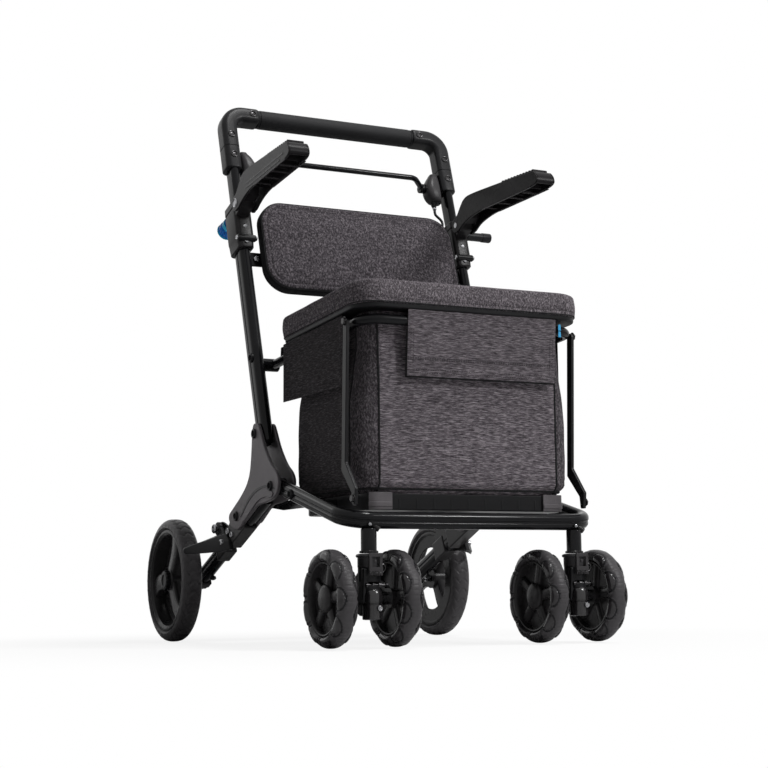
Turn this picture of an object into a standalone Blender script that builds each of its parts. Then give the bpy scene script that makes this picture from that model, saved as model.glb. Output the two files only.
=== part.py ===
"""Shopping walker: a folding four-wheel walking frame with a seat over a bag.

Units are metres, +Z is up and the walker's front faces -Y.
The origin lies on the floor, under the middle of the whole object.
Each object is one piece as it would lie on a bench, taken apart.
"""

import math

import bmesh
import bpy
from mathutils import Matrix, Vector

for old in list(bpy.data.objects):
    bpy.data.objects.remove(old, do_unlink=True)

# Fits
GAP = 0.0003
PLATE_GAP = 0.0005

# Uprights and handle
FRAME_X = 0.216
FOOT_Y = -0.025
FOOT_Z = 0.330
TILT = math.radians(17.1)
TUBE_WIDTH = 0.020
TUBE_DEPTH = 0.038
INNER_WIDTH = 0.0155
INNER_DEPTH = 0.032
GROOVE_WIDTH = 0.005
GROOVE_DEPTH = 0.0009
TUBE_TOP = 0.440
INNER_FOOT = 0.300
INNER_TOP = 0.560
ELBOW_FOOT = 0.522
BAR_HEIGHT = 0.638
ELBOW_WIDTH = 0.030
ELBOW_DEPTH = 0.036
ELBOW_ROUND = 0.010
ELBOW_BEND = 0.030
GRIP_RADIUS = 0.017
GRIP_HALF = 0.158
HANDLE_DOWN = 0.045
HANDLE_UP = 0.060

# Brake bar under the handle
HOUSING_WIDTH = 0.030
HOUSING_FOOT = 0.500
HOUSING_TOP = 0.560
HOUSING_DEPTH = 0.034
BRAKE_PIVOT = 0.530
BRAKE_REACH = 0.032
BRAKE_RISE = 0.001
BRAKE_SLANT = 0.030
ROD_RADIUS = 0.005
BOSS_RADIUS = 0.009
BOOT_RADIUS = 0.006
BOOT_LENGTH = 0.014
CABLE_RADIUS = 0.0025

# Height clamps and armrests
CLAMP_FOOT = TUBE_TOP - 0.082
CLAMP_TOP = TUBE_TOP + 0.012
CLAMP_WIDTH = 0.032
CLAMP_DEPTH = 0.052
CLAMP_ROUND = 0.008
KNOB_RADIUS = 0.0155
KNOB_LENGTH = 0.034
KNOB_HEIGHT = TUBE_TOP - 0.007
ARM_PIVOT_Y = 0.063
ARM_PIVOT_Z = 0.755
ARM_INNER = 0.1995
ARM_OUTER = 0.2365
ARM_SPLAY = 0.012
ARM_TOP = ARM_PIVOT_Z + 0.048
ARM_TIP_Y = -0.195
ARM_HEEL_Y = 0.030
ARM_EYE = 0.014
ARM_CHEEK = 0.006
ARM_PIN = 0.005
ARM_WALL = 0.0035
PEG_LENGTH = 0.036
PEG_RADIUS = 0.009
PEG_HEIGHT = CLAMP_TOP - 0.026

# Backrest
PAD_HALF = 0.190
PAD_HEIGHT = 0.172
PAD_THICK = 0.028
PAD_CORNER = 0.045
PAD_MIDDLE = 0.361
PAD_FORWARD = 0.024
PAD_CROWN = 0.006
RAIL_HEIGHT = 0.026
RAIL_THICK = 0.004
RAIL_AT = 0.342

# Gussets and rear legs
PLATE_THICK = 0.006
RIVET_RADIUS = 0.0045
RIVET_HEAD = 0.0075
RIVET_RISE = 0.002
FOLD_Y = -0.083
FOLD_Z = 0.256
FOLD_PIN = 0.005
STAY_Y = -0.004
STAY_Z = 0.232
STAY_THICK = 0.004
STAY_PIN = 0.003
CATCH_Y = -0.150
CATCH_PIN = 0.004
HOOK_EYE = 0.008
HOOK_BEND_Y = -0.050
HOOK_DROP = 0.020
HOOK_NOSE = 0.018
LEG_TOP_Y = -0.030
LEG_TOP_Z = 0.243
LEG_WIDTH = 0.020
LEG_DEPTH = 0.030
AXLE_RADIUS = 0.006

# Rear wheels
REAR_X = 0.267
REAR_Y = 0.286
REAR_RADIUS = 0.109
REAR_WIDTH = 0.036
REAR_TYRE = 0.019
REAR_RIM = REAR_RADIUS - REAR_TYRE
REAR_HUB = 0.016
REAR_SPOKES = 3

# Wheel brakes
SHOE_PIVOT_Y = 0.156
SHOE_PIVOT_Z = 0.196
SHOE_CLEAR = 0.0035
SHOE_LOW = math.radians(8.0)
SHOE_HIGH = math.radians(34.0)
SHOE_THICK = 0.007
EAR_RADIUS = 0.013
EAR_PIN = 0.004

# Lower frame and tray
LOWER_X = 0.216
LOWER_FRONT_Y = -0.338
LOWER_FRONT_Z = 0.190
LOWER_WIDTH = 0.019
LOWER_DEPTH = 0.026
LOWER_CORNER = 0.040
TRAY_HALF = 0.175
TRAY_FRONT_Y = -0.322
TRAY_REAR_Y = -0.088
TRAY_FOOT = 0.2065
TRAY_HEIGHT = 0.025
TRAY_FLOOR = 0.004
TRAY_WALL = 0.003
TRAY_CORNER = 0.020
LUG_Y = -0.205
LUG_SIZE = 0.018

# Seat frame, posts and lid
SEAT_X = 0.185
SEAT_PIVOT_Z = 0.468
SEAT_FRONT_Y = -0.340
SEAT_FRONT_Z = 0.4945
SEAT_TUBE = 0.008
SEAT_CORNER = 0.030
SEAT_BOSS = 0.011
POST_TOP_Y = -0.3107
POST_THICK = 0.006
POST_WIDTH = 0.014
POST_FOOT_Y = -0.3355
POST_FOOT_Z = 0.219
POST_KINK_Z = 0.266
POST_KINK_Y = -0.301
POST_CLEAR = 0.0012
LID_HALF = 0.202
LID_FRONT_Y = -0.356
LID_REAR_Y = -0.034
LID_FOOT = SEAT_PIVOT_Z + 0.0246
LID_HEIGHT = 0.0444
LID_CORNER = 0.040
LID_CROWN = 0.010
LID_TILT = math.radians(3.4)
EAR_HALF_X = 0.004
EAR_HALF_Y = 0.008

# Bag
BAG_FOOT = 0.2112
BAG_BELLY = 0.188
BAG_FRONT_Y = -0.330
BAG_REAR_Y = -0.068
RIM_CLEAR = 0.0006
BAG_WALL = 0.003
FLAP_THICK = 0.0032
FLAP_HALF = 0.132
FLAP_MIDDLE = 0.017
FLAP_FOOT = 0.410
SIDE_FLAP_FOOT = 0.397
SIDE_FLAP_FRONT_Y = -0.282
SIDE_FLAP_REAR_Y = -0.0505

# Casters
CASTER_X = 0.1805
CASTER_TRAIL = 0.022
FRONT_RADIUS = 0.0745
FRONT_WIDTH = 0.032
FRONT_TYRE = 0.0145
FRONT_RIM = FRONT_RADIUS - FRONT_TYRE
FRONT_HUB = 0.015
FRONT_SPOKES = 5
TWIN_SPREAD = 0.0535
STEM_RADIUS = 0.012
STEM_FOOT = 0.142
SPIGOT_RADIUS = 0.007
FORK_TOP = 0.1405
FORK_FOOT = 0.046
FORK_HALF = 0.015
FORK_COLLAR = 0.017
LOCK_HALF = 0.013
LOCK_THICK = 0.003
LOCK_TOP = 0.146
LOCK_FOOT = 0.100

SIDES = (("left", -1), ("right", 1))


def material(name, color, roughness, metallic=0.0):
    """One Principled finish."""
    mat = bpy.data.materials.new(name)
    mat.use_nodes = True
    shader = mat.node_tree.nodes["Principled BSDF"]
    shader.inputs["Base Color"].default_value = (*color, 1.0)
    shader.inputs["Roughness"].default_value = roughness
    shader.inputs["Metallic"].default_value = metallic
    return mat


BLACK_PAINT = material("black_paint", (0.012, 0.012, 0.013), 0.25)
HAMMERED = material("hammered_grey", (0.10, 0.095, 0.10), 0.45, 0.4)
PLASTIC = material("dark_plastic", (0.030, 0.030, 0.032), 0.5)
SOFT_GRIP = material("soft_grip", (0.022, 0.022, 0.024), 0.7)
TYRE = material("tyre_rubber", (0.028, 0.026, 0.028), 0.75)
FABRIC = material("grey_fabric", (0.085, 0.078, 0.085), 0.95)
BLUE = material("blue_plastic", (0.01, 0.12, 0.35), 0.35)
STEEL = material("steel", (0.5, 0.5, 0.5), 0.25, 1.0)


def finish(name, bm, mat, pivot=(0.0, 0.0, 0.0)):
    """Turn a bmesh into a named object whose origin is its pivot."""
    bmesh.ops.remove_doubles(bm, verts=bm.verts, dist=1e-7)
    bmesh.ops.recalc_face_normals(bm, faces=bm.faces)
    bmesh.ops.translate(bm, vec=-Vector(pivot), verts=bm.verts)
    mesh = bpy.data.meshes.new(name)
    bm.to_mesh(mesh)
    bm.free()
    mesh.materials.append(mat)
    mesh.shade_smooth()
    mesh.set_sharp_from_angle(angle=math.radians(35))
    obj = bpy.data.objects.new(name, mesh)
    obj.location = pivot
    bpy.context.collection.objects.link(obj)
    return obj


def combine(obj, operation, tools):
    """Join or cut an object with other closed solids, which stay hidden."""
    for tool in tools:
        tool.hide_render = True
        tool.display_type = "WIRE"
        modifier = obj.modifiers.new(operation.lower(), "BOOLEAN")
        modifier.operation = operation
        modifier.solver = "EXACT"
        modifier.object = tool
    return obj


def loft(bm, rings, hollow=None):
    """Skin a list of rings, with flat caps, or with an inner skin that is open."""
    def skin(ring_list):
        rows = [[bm.verts.new(point) for point in ring] for ring in ring_list]
        for lower, upper in zip(rows, rows[1:]):
            for i in range(len(lower)):
                j = (i + 1) % len(lower)
                bm.faces.new((lower[i], lower[j], upper[j], upper[i]))
        return rows

    outer = skin(rings)
    if hollow is None:
        bm.faces.new(outer[0])
        bm.faces.new(outer[-1])
        return
    inner = skin(hollow)
    for end in (0, -1):
        for i in range(len(outer[end])):
            j = (i + 1) % len(outer[end])
            bm.faces.new((outer[end][i], outer[end][j], inner[end][j], inner[end][i]))


def circle(radius, steps):
    """Points of a circle, as pairs."""
    turn = 2 * math.pi / steps
    return [(radius * math.cos(i * turn), radius * math.sin(i * turn)) for i in range(steps)]


def oval(width, depth, groove=None, steps=7):
    """Section of a flat-sided oval tube, with an optional groove of some depth in both flats."""
    radius = width / 2
    flat = depth / 2 - radius
    points = []
    for end in (1, -1):
        for i in range(steps):
            angle = math.pi * i / (steps - 1)
            points.append((end * radius * math.cos(angle), end * (flat + radius * math.sin(angle))))
        if groove is not None:
            side = -end * radius
            floor = side + end * groove
            half = GROOVE_WIDTH / 2
            points += [(side, end * half), (floor, end * half / 2)]
            points += [(floor, -end * half / 2), (side, -end * half)]
    return points


def rounded_rectangle(width, depth, radius, steps=5):
    """Section with four round corners, counter-clockwise."""
    points = []
    for index, (sx, sy) in enumerate(((1, 1), (-1, 1), (-1, -1), (1, -1))):
        for i in range(steps):
            angle = math.pi / 2 * (index + i / (steps - 1))
            x = sx * (width / 2 - radius) + radius * math.cos(angle)
            y = sy * (depth / 2 - radius) + radius * math.sin(angle)
            points.append((x, y))
    return points


def rounded_path(corners, radius, steps=7):
    """A polyline whose inner corners are arcs of one radius."""
    points = [Vector(corners[0])]
    for before, corner, after in zip(corners, corners[1:], corners[2:]):
        before, corner, after = Vector(before), Vector(corner), Vector(after)
        back = (before - corner).normalized()
        ahead = (after - corner).normalized()
        half = back.angle(ahead) / 2
        reach = radius / math.tan(half)
        centre = corner + (back + ahead).normalized() * (radius / math.sin(half))
        start = corner + back * reach - centre
        end = corner + ahead * reach - centre
        total = start.angle(end)
        axis = start.cross(end).normalized()
        for i in range(steps):
            points.append(centre + Matrix.Rotation(total * i / (steps - 1), 3, axis) @ start)
    points.append(Vector(corners[-1]))
    return points


def sweep_rings(path, section, normal):
    """Rings of a section along a path that lies in the plane of the given normal."""
    normal = Vector(normal).normalized()
    rings = []
    for i, point in enumerate(path):
        before = path[max(i - 1, 0)]
        after = path[min(i + 1, len(path) - 1)]
        tangent = (after - before).normalized()
        side = tangent.cross(normal).normalized()
        rings.append([point + side * u + normal * v for u, v in section])
    return rings


def prism(bm, outline, start, end):
    """Extrude an outline of (y, z) pairs along X."""
    loft(bm, [[(start, y, z) for y, z in outline], [(end, y, z) for y, z in outline]])


def plate(name, outline, start, end, mat, pivot=(0.0, 0.0, 0.0)):
    """A flat piece standing in the YZ plane."""
    bm = bmesh.new()
    prism(bm, outline, start, end)
    return finish(name, bm, mat, pivot)


def rod(name, start, end, radius, mat, steps=18):
    """A round rod between two points."""
    start, end = Vector(start), Vector(end)
    axis = (end - start).normalized()
    across = axis.orthogonal().normalized()
    other = axis.cross(across)
    ring = circle(radius, steps)
    bm = bmesh.new()
    loft(bm, [[point + across * u + other * v for u, v in ring] for point in (start, end)])
    return finish(name, bm, mat)


def turned(bm, profile, centre, steps):
    """Spin a closed profile of (x, radius) pairs about the X axis through a centre."""
    rows = []
    for i in range(steps):
        angle = 2 * math.pi * i / steps
        spin_y, spin_z = math.cos(angle), math.sin(angle)
        rows.append([bm.verts.new((centre[0] + x, centre[1] + r * spin_y, centre[2] + r * spin_z))
                     for x, r in profile])
    for i in range(steps):
        here, there = rows[i], rows[(i + 1) % steps]
        for k in range(len(profile)):
            m = (k + 1) % len(profile)
            bm.faces.new((here[k], here[m], there[m], there[k]))


def along_upright(side, s, forward=0.0, outward=0.0):
    """A point at a distance up the upright, and before it or outside it."""
    return Vector((side * (FRAME_X + outward),
                   FOOT_Y + s * math.sin(TILT) - forward * math.cos(TILT),
                   FOOT_Z + s * math.cos(TILT) + forward * math.sin(TILT)))


UP = Vector((0.0, math.sin(TILT), math.cos(TILT)))
BACK = Vector((0.0, math.cos(TILT), -math.sin(TILT)))
SEAT_PIVOT_Y = FOOT_Y + (SEAT_PIVOT_Z - FOOT_Z) * math.tan(TILT)


def straight_rings(side, low, high, section):
    """Two rings of a section along the upright."""
    rings = []
    for s in (low, high):
        middle = along_upright(side, s)
        rings.append([middle + Vector((side * u, 0, 0)) + BACK * v for u, v in section])
    return rings


def upright(name, side):
    """Outer oval tube: open, grooved, bored for the tube that slides in it."""
    bm = bmesh.new()
    outer = oval(TUBE_WIDTH, TUBE_DEPTH, GROOVE_DEPTH)
    bore = oval(INNER_WIDTH + 2 * GAP, INNER_DEPTH + 2 * GAP, 0.0)
    loft(bm, straight_rings(side, 0.0, TUBE_TOP, outer), straight_rings(side, 0.0, TUBE_TOP, bore))
    return finish(name, bm, BLACK_PAINT)


def inner_tube(name, side):
    """Sliding tube that carries the handle."""
    bm = bmesh.new()
    section = oval(INNER_WIDTH, INNER_DEPTH)
    loft(bm, straight_rings(side, INNER_FOOT, INNER_TOP, section))
    return finish(name, bm, BLACK_PAINT, along_upright(side, INNER_FOOT))


def elbow(name, side):
    """Moulded corner between the sliding tube and the grip."""
    path = rounded_path([along_upright(side, ELBOW_FOOT),
                         along_upright(side, BAR_HEIGHT),
                         along_upright(side, BAR_HEIGHT) - Vector((side * (FRAME_X - GRIP_HALF), 0, 0))],
                        ELBOW_BEND)
    section = rounded_rectangle(ELBOW_WIDTH, ELBOW_DEPTH, ELBOW_ROUND)
    bm = bmesh.new()
    loft(bm, sweep_rings(path, section, BACK))
    body = finish(name, bm, PLASTIC, along_upright(side, ELBOW_FOOT))
    bm = bmesh.new()
    socket = oval(INNER_WIDTH + 2 * GAP, INNER_DEPTH + 2 * GAP)
    loft(bm, straight_rings(side, ELBOW_FOOT - ELBOW_WIDTH, INNER_TOP + GAP, socket))
    return combine(body, "DIFFERENCE", [finish(name + "_socket", bm, PLASTIC)])


def grip():
    """Round soft grip across the top."""
    middle = along_upright(1, BAR_HEIGHT)
    half = GRIP_HALF - GAP
    start = Vector((-half, middle.y, middle.z))
    end = Vector((half, middle.y, middle.z))
    return rod("handle_grip", start, end, GRIP_RADIUS, SOFT_GRIP, 28)


def brake_axis():
    """Line about which the brake bar turns."""
    point = along_upright(1, BRAKE_PIVOT)
    return Vector((0.0, point.y, point.z))


HOUSING_OUTER = FRAME_X - ELBOW_WIDTH / 2 - GAP
HOUSING_INNER = HOUSING_OUTER - HOUSING_WIDTH
ROD_END = HOUSING_INNER - GAP


def brake_housing(name, side):
    """Pear-shaped moulding on the elbow's inner side, with the bar's pivot and the cable's boot."""
    middle = (HOUSING_OUTER + HOUSING_INNER) / 2
    bm = bmesh.new()
    rings = []
    for share, swell in ((0.0, 0.62), (0.22, 0.90), (0.45, 1.0), (0.75, 0.88), (1.0, 0.58)):
        width, depth = swell * HOUSING_WIDTH, swell * HOUSING_DEPTH
        centre = along_upright(side, HOUSING_FOOT + share * (HOUSING_TOP - HOUSING_FOOT))
        centre.x = side * (HOUSING_OUTER - width / 2)
        rings.append([centre + Vector((u, 0, 0)) + BACK * v
                      for u, v in rounded_rectangle(width, depth, 0.38 * width)])
    loft(bm, rings)
    body = finish(name, bm, PLASTIC, rings_centre(side, middle, HOUSING_FOOT))
    boot = rod(name + "_boot", rings_centre(side, middle, HOUSING_FOOT - BOOT_LENGTH),
               rings_centre(side, middle, HOUSING_FOOT + BOOT_LENGTH), BOOT_RADIUS, SOFT_GRIP, 14)
    return combine(body, "UNION", [boot])


def rings_centre(side, x, s):
    """A point beside the upright at a given X."""
    point = along_upright(side, s)
    point.x = side * x
    return point


def brake_bar():
    """Thin bar below the grip, slanting back to a boss at each housing."""
    pivot = brake_axis()
    bar = pivot - BACK * BRAKE_REACH + UP * BRAKE_RISE
    boss = ROD_END - ROD_RADIUS
    straight = boss - BRAKE_SLANT
    corners = [Vector((-boss, 0, 0)) + pivot, Vector((-straight, 0, 0)) + bar,
               Vector((straight, 0, 0)) + bar, Vector((boss, 0, 0)) + pivot]
    normal = (corners[1] - corners[0]).cross(Vector((1, 0, 0)))
    bm = bmesh.new()
    loft(bm, sweep_rings(rounded_path(corners, 0.022), circle(ROD_RADIUS, 8), normal))
    body = finish("brake_bar", bm, BLACK_PAINT, pivot)
    bosses = []
    for side_name, side in SIDES:
        start = Vector((side * ROD_END, 0, 0)) + pivot
        end = Vector((side * (ROD_END - 2 * ROD_RADIUS), 0, 0)) + pivot
        bosses.append(rod("brake_boss_" + side_name, start, end, BOSS_RADIUS, BLACK_PAINT))
    return combine(body, "UNION", bosses)


def height_clamp(name, side):
    """Moulded collar on top of the upright, with the ears that carry the armrest."""
    bm = bmesh.new()
    loft(bm, straight_rings(side, CLAMP_FOOT, CLAMP_TOP,
                            rounded_rectangle(CLAMP_WIDTH, CLAMP_DEPTH, CLAMP_ROUND)))
    body = finish(name, bm, PLASTIC)
    heel = along_upright(side, CLAMP_TOP - 0.040, TUBE_DEPTH / 2)
    top = along_upright(side, CLAMP_TOP - 0.002, TUBE_DEPTH / 2)
    ear = [(heel.y, heel.z), (top.y, top.z), (ARM_PIVOT_Y + 0.004, ARM_PIVOT_Z + ARM_EYE * 0.7),
           (ARM_PIVOT_Y - ARM_EYE * 0.6, ARM_PIVOT_Z + ARM_EYE * 0.4),
           (ARM_PIVOT_Y - ARM_EYE * 0.6, ARM_PIVOT_Z - ARM_EYE * 0.6)]
    ear_inner = ARM_INNER + ARM_CHEEK + GAP
    ear_outer = ARM_OUTER - ARM_CHEEK - GAP
    lug = plate(name + "_lug", ear, side * ear_inner, side * ear_outer, PLASTIC)
    pin = rod(name + "_pin", (side * (ARM_INNER - 0.001), ARM_PIVOT_Y, ARM_PIVOT_Z),
              (side * (ARM_OUTER + 0.001), ARM_PIVOT_Y, ARM_PIVOT_Z), ARM_PIN, PLASTIC)
    body = combine(body, "UNION", [lug, pin])
    bm = bmesh.new()
    loft(bm, straight_rings(side, CLAMP_FOOT - 0.01, TUBE_TOP + GAP,
                            oval(TUBE_WIDTH + 2 * GAP, TUBE_DEPTH + 2 * GAP)))
    wide = finish(name + "_bore", bm, PLASTIC)
    bm = bmesh.new()
    loft(bm, straight_rings(side, TUBE_TOP - 0.01, CLAMP_TOP + 0.01,
                            oval(INNER_WIDTH + 2 * GAP, INNER_DEPTH + 2 * GAP)))
    mouth = finish(name + "_mouth", bm, PLASTIC)
    start = along_upright(side, KNOB_HEIGHT, -TUBE_DEPTH / 2 - 0.002)
    end = along_upright(side, KNOB_HEIGHT, -CLAMP_DEPTH)
    stem_hole = rod(name + "_stem_hole", start, end, KNOB_RADIUS * 0.4 + GAP, PLASTIC)
    return combine(body, "DIFFERENCE", [wide, mouth, stem_hole])


def height_knob(name, side):
    """Blue pull knob behind the clamp, on its stem."""
    seat = CLAMP_DEPTH / 2 + GAP
    face = along_upright(side, KNOB_HEIGHT, -seat - 0.004)
    head = rod(name, face, along_upright(side, KNOB_HEIGHT, -seat - 0.004 - KNOB_LENGTH),
               KNOB_RADIUS, BLUE, 24)
    stem = rod(name + "_stem", along_upright(side, KNOB_HEIGHT, -TUBE_DEPTH / 2 - 0.0025),
               along_upright(side, KNOB_HEIGHT, -seat - 0.006), KNOB_RADIUS * 0.4, BLUE)
    return combine(head, "UNION", [stem])


def splay(obj, side):
    """Lean the arm in front of its heel outward, more towards its tip."""
    heel = ARM_HEEL_Y - obj.location.y
    bm = bmesh.new()
    bm.from_mesh(obj.data)
    bmesh.ops.bisect_plane(bm, geom=bm.verts[:] + bm.edges[:] + bm.faces[:], dist=1e-6,
                           plane_co=(0.0, heel, 0.0), plane_no=(0.0, 1.0, 0.0))
    for vert in bm.verts:
        if vert.co.y < heel:
            vert.co.x += side * ARM_SPLAY * (heel - vert.co.y) / (ARM_HEEL_Y - ARM_TIP_Y)
    bm.to_mesh(obj.data)
    bm.free()


def armrest(name, side):
    """Cranked moulded arm, hollow below, with two cheeks around the clamp's ears."""
    heel = ARM_HEEL_Y
    eye = [(ARM_PIVOT_Y + ARM_EYE * math.cos(angle), ARM_PIVOT_Z + ARM_EYE * math.sin(angle))
           for angle in [math.radians(degrees) for degrees in range(-120, 75, 24)]]
    outline = eye + [
        (ARM_PIVOT_Y - 0.006, ARM_PIVOT_Z + 0.0185), (ARM_PIVOT_Y - 0.016, ARM_PIVOT_Z + 0.031),
        (heel, ARM_TOP - 0.002), (heel - 0.03, ARM_TOP), (ARM_TIP_Y + 0.006, ARM_TOP - 0.003),
        (ARM_TIP_Y, ARM_TOP - 0.007), (ARM_TIP_Y - 0.008, ARM_TOP - 0.026),
        (ARM_TIP_Y + 0.012, ARM_TOP - 0.031), (heel - 0.050, ARM_TOP - 0.038),
        (heel - 0.004, ARM_TOP - 0.047), (heel + 0.010, ARM_PIVOT_Z - ARM_EYE * 0.3),
        (ARM_PIVOT_Y - ARM_EYE, ARM_PIVOT_Z - ARM_EYE * 0.8)]
    pivot = (side * (ARM_INNER + ARM_OUTER) / 2, ARM_PIVOT_Y, ARM_PIVOT_Z)
    body = plate(name, outline, side * ARM_INNER, side * ARM_OUTER, PLASTIC, pivot)
    splay(body, side)
    inner, outer = ARM_INNER + ARM_CHEEK, ARM_OUTER - ARM_CHEEK
    throat = [(heel + 0.011, ARM_PIVOT_Z - 0.030), (ARM_PIVOT_Y + 0.035, ARM_PIVOT_Z - 0.030),
              (ARM_PIVOT_Y + 0.035, ARM_TOP + 0.01), (ARM_PIVOT_Y - ARM_EYE * 0.3, ARM_TOP + 0.01),
              (heel + 0.022, ARM_PIVOT_Z + 0.008)]
    slot = plate(name + "_throat", throat, side * inner, side * outer, PLASTIC)
    wall = ARM_WALL
    hollow = [(ARM_TIP_Y + 0.012, ARM_TOP - 0.060), (heel - 0.012, ARM_TOP - 0.060),
              (heel - 0.012, ARM_TOP - 3 * wall), (heel - 0.03, ARM_TOP - 2 * wall),
              (ARM_TIP_Y + 0.012, ARM_TOP - 2.6 * wall)]
    cavity = plate(name + "_cavity", hollow, side * (ARM_INNER + wall), side * (ARM_OUTER - wall), PLASTIC)
    splay(cavity, side)
    bore = rod(name + "_bore", (side * (ARM_INNER - 0.01), ARM_PIVOT_Y, ARM_PIVOT_Z),
               (side * (ARM_OUTER + 0.01), ARM_PIVOT_Y, ARM_PIVOT_Z), ARM_PIN + GAP, PLASTIC)
    return combine(body, "DIFFERENCE", [slot, cavity, bore])


def accessory_peg():
    """Peg on the right clamp, standing out sideways."""
    start = along_upright(1, PEG_HEIGHT, CLAMP_DEPTH / 2 - 0.010, CLAMP_WIDTH / 2 + GAP)
    end = start + Vector((PEG_LENGTH + CLAMP_WIDTH / 2, 0, 0))
    return rod("accessory_peg", start, end, PEG_RADIUS, PLASTIC)


def backrest_pad():
    """Padded backrest: a crowned slab with round corners, leaning with the uprights."""
    bm = bmesh.new()
    centre = Vector((0.0, FOOT_Y, FOOT_Z)) + UP * PAD_MIDDLE - BACK * PAD_FORWARD
    rings = []
    for depth, inset in ((-0.5, 0.010), (-0.36, 0.003), (0.0, 0.0), (0.36, 0.003), (0.5, 0.010)):
        outline = rounded_rectangle(2 * (PAD_HALF - inset), PAD_HEIGHT - 2 * inset, PAD_CORNER - inset)
        rings.append([centre + Vector((u, 0, 0)) + UP * v + BACK * depth * PAD_THICK
                      for u, v in outline])
    crown = [centre + Vector((u, 0, 0)) + UP * v - BACK * (PAD_THICK / 2 + PAD_CROWN)
             for u, v in rounded_rectangle(PAD_HALF, PAD_HEIGHT / 2, PAD_CORNER / 2)]
    loft(bm, [crown] + rings)
    return finish("backrest_pad", bm, FABRIC)


def backrest_rail():
    """Flat steel rail behind the pad, from upright to upright."""
    back = PAD_FORWARD - PAD_THICK / 2 - GAP
    half = FRAME_X - TUBE_WIDTH / 2 - GAP
    bm = bmesh.new()
    rings = []
    for x in (-half, half):
        ring = []
        for up, depth in ((-1, 0), (1, 0), (1, 1), (-1, 1)):
            point = Vector((x, FOOT_Y, FOOT_Z)) + UP * (RAIL_AT + up * RAIL_HEIGHT / 2)
            ring.append(point - BACK * (back - depth * RAIL_THICK))
        rings.append(ring)
    loft(bm, rings)
    return finish("backrest_rail", bm, BLACK_PAINT)


GUSSET = [(-0.004, 0.364), (0.001, 0.312), (0.008, 0.281), (0.024, 0.262), (0.051, 0.245),
          (0.083, 0.229), (0.107, 0.217), (0.098, 0.198), (0.066, 0.189), (0.046, 0.197),
          (0.006, 0.215), (-0.026, 0.229), (-0.060, 0.230), (-0.092, 0.234), (-0.110, 0.244),
          (-0.116, 0.262), (-0.107, 0.277), (-0.082, 0.292), (-0.054, 0.322), (-0.034, 0.356),
          (-0.026, 0.364)]
GUSSET_RIVETS = ((-0.014, 0.347), (0.068, 0.214))
GUSSET_SHANK = 0.002
STAY_X = FRAME_X - TUBE_WIDTH / 2 - PLATE_THICK - 2 * PLATE_GAP - RIVET_RISE


def gusset(name, side, outer):
    """Cast plate that joins upright, rear leg and lower frame, one on each side of the tubes."""
    near = FRAME_X + TUBE_WIDTH / 2 + GAP if outer else FRAME_X - TUBE_WIDTH / 2 - GAP
    far = near + PLATE_THICK if outer else near - PLATE_THICK
    body = plate(name, GUSSET, side * near, side * far, HAMMERED)
    rise = RIVET_RISE if outer else -RIVET_RISE
    heads = []
    for number, (y, z) in enumerate((*GUSSET_RIVETS, (FOLD_Y, FOLD_Z))):
        heads.append(rod(f"{name}_rivet_{number}", (side * (far - rise), y, z),
                         (side * (far + rise), y, z), RIVET_HEAD, HAMMERED, 16))
    if outer:
        pin_end = FRAME_X - TUBE_WIDTH / 2 - PLATE_THICK / 2
        heads.append(rod(name + "_fold_pin", (side * pin_end, FOLD_Y, FOLD_Z),
                         (side * (near + GUSSET_SHANK), FOLD_Y, FOLD_Z), FOLD_PIN, HAMMERED))
        return combine(body, "UNION", heads)
    heads.append(rod(name + "_stay_pin", (side * (near - PLATE_THICK / 2), STAY_Y, STAY_Z),
                     (side * (STAY_X - STAY_THICK - 0.001), STAY_Y, STAY_Z), STAY_PIN, HAMMERED, 14))
    combine(body, "UNION", heads)
    hole = rod(name + "_hole", (side * (near + 0.001), FOLD_Y, FOLD_Z),
               (side * (near - PLATE_THICK / 2 - GAP), FOLD_Y, FOLD_Z), FOLD_PIN + GAP, HAMMERED)
    return combine(body, "DIFFERENCE", [hole])


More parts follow.
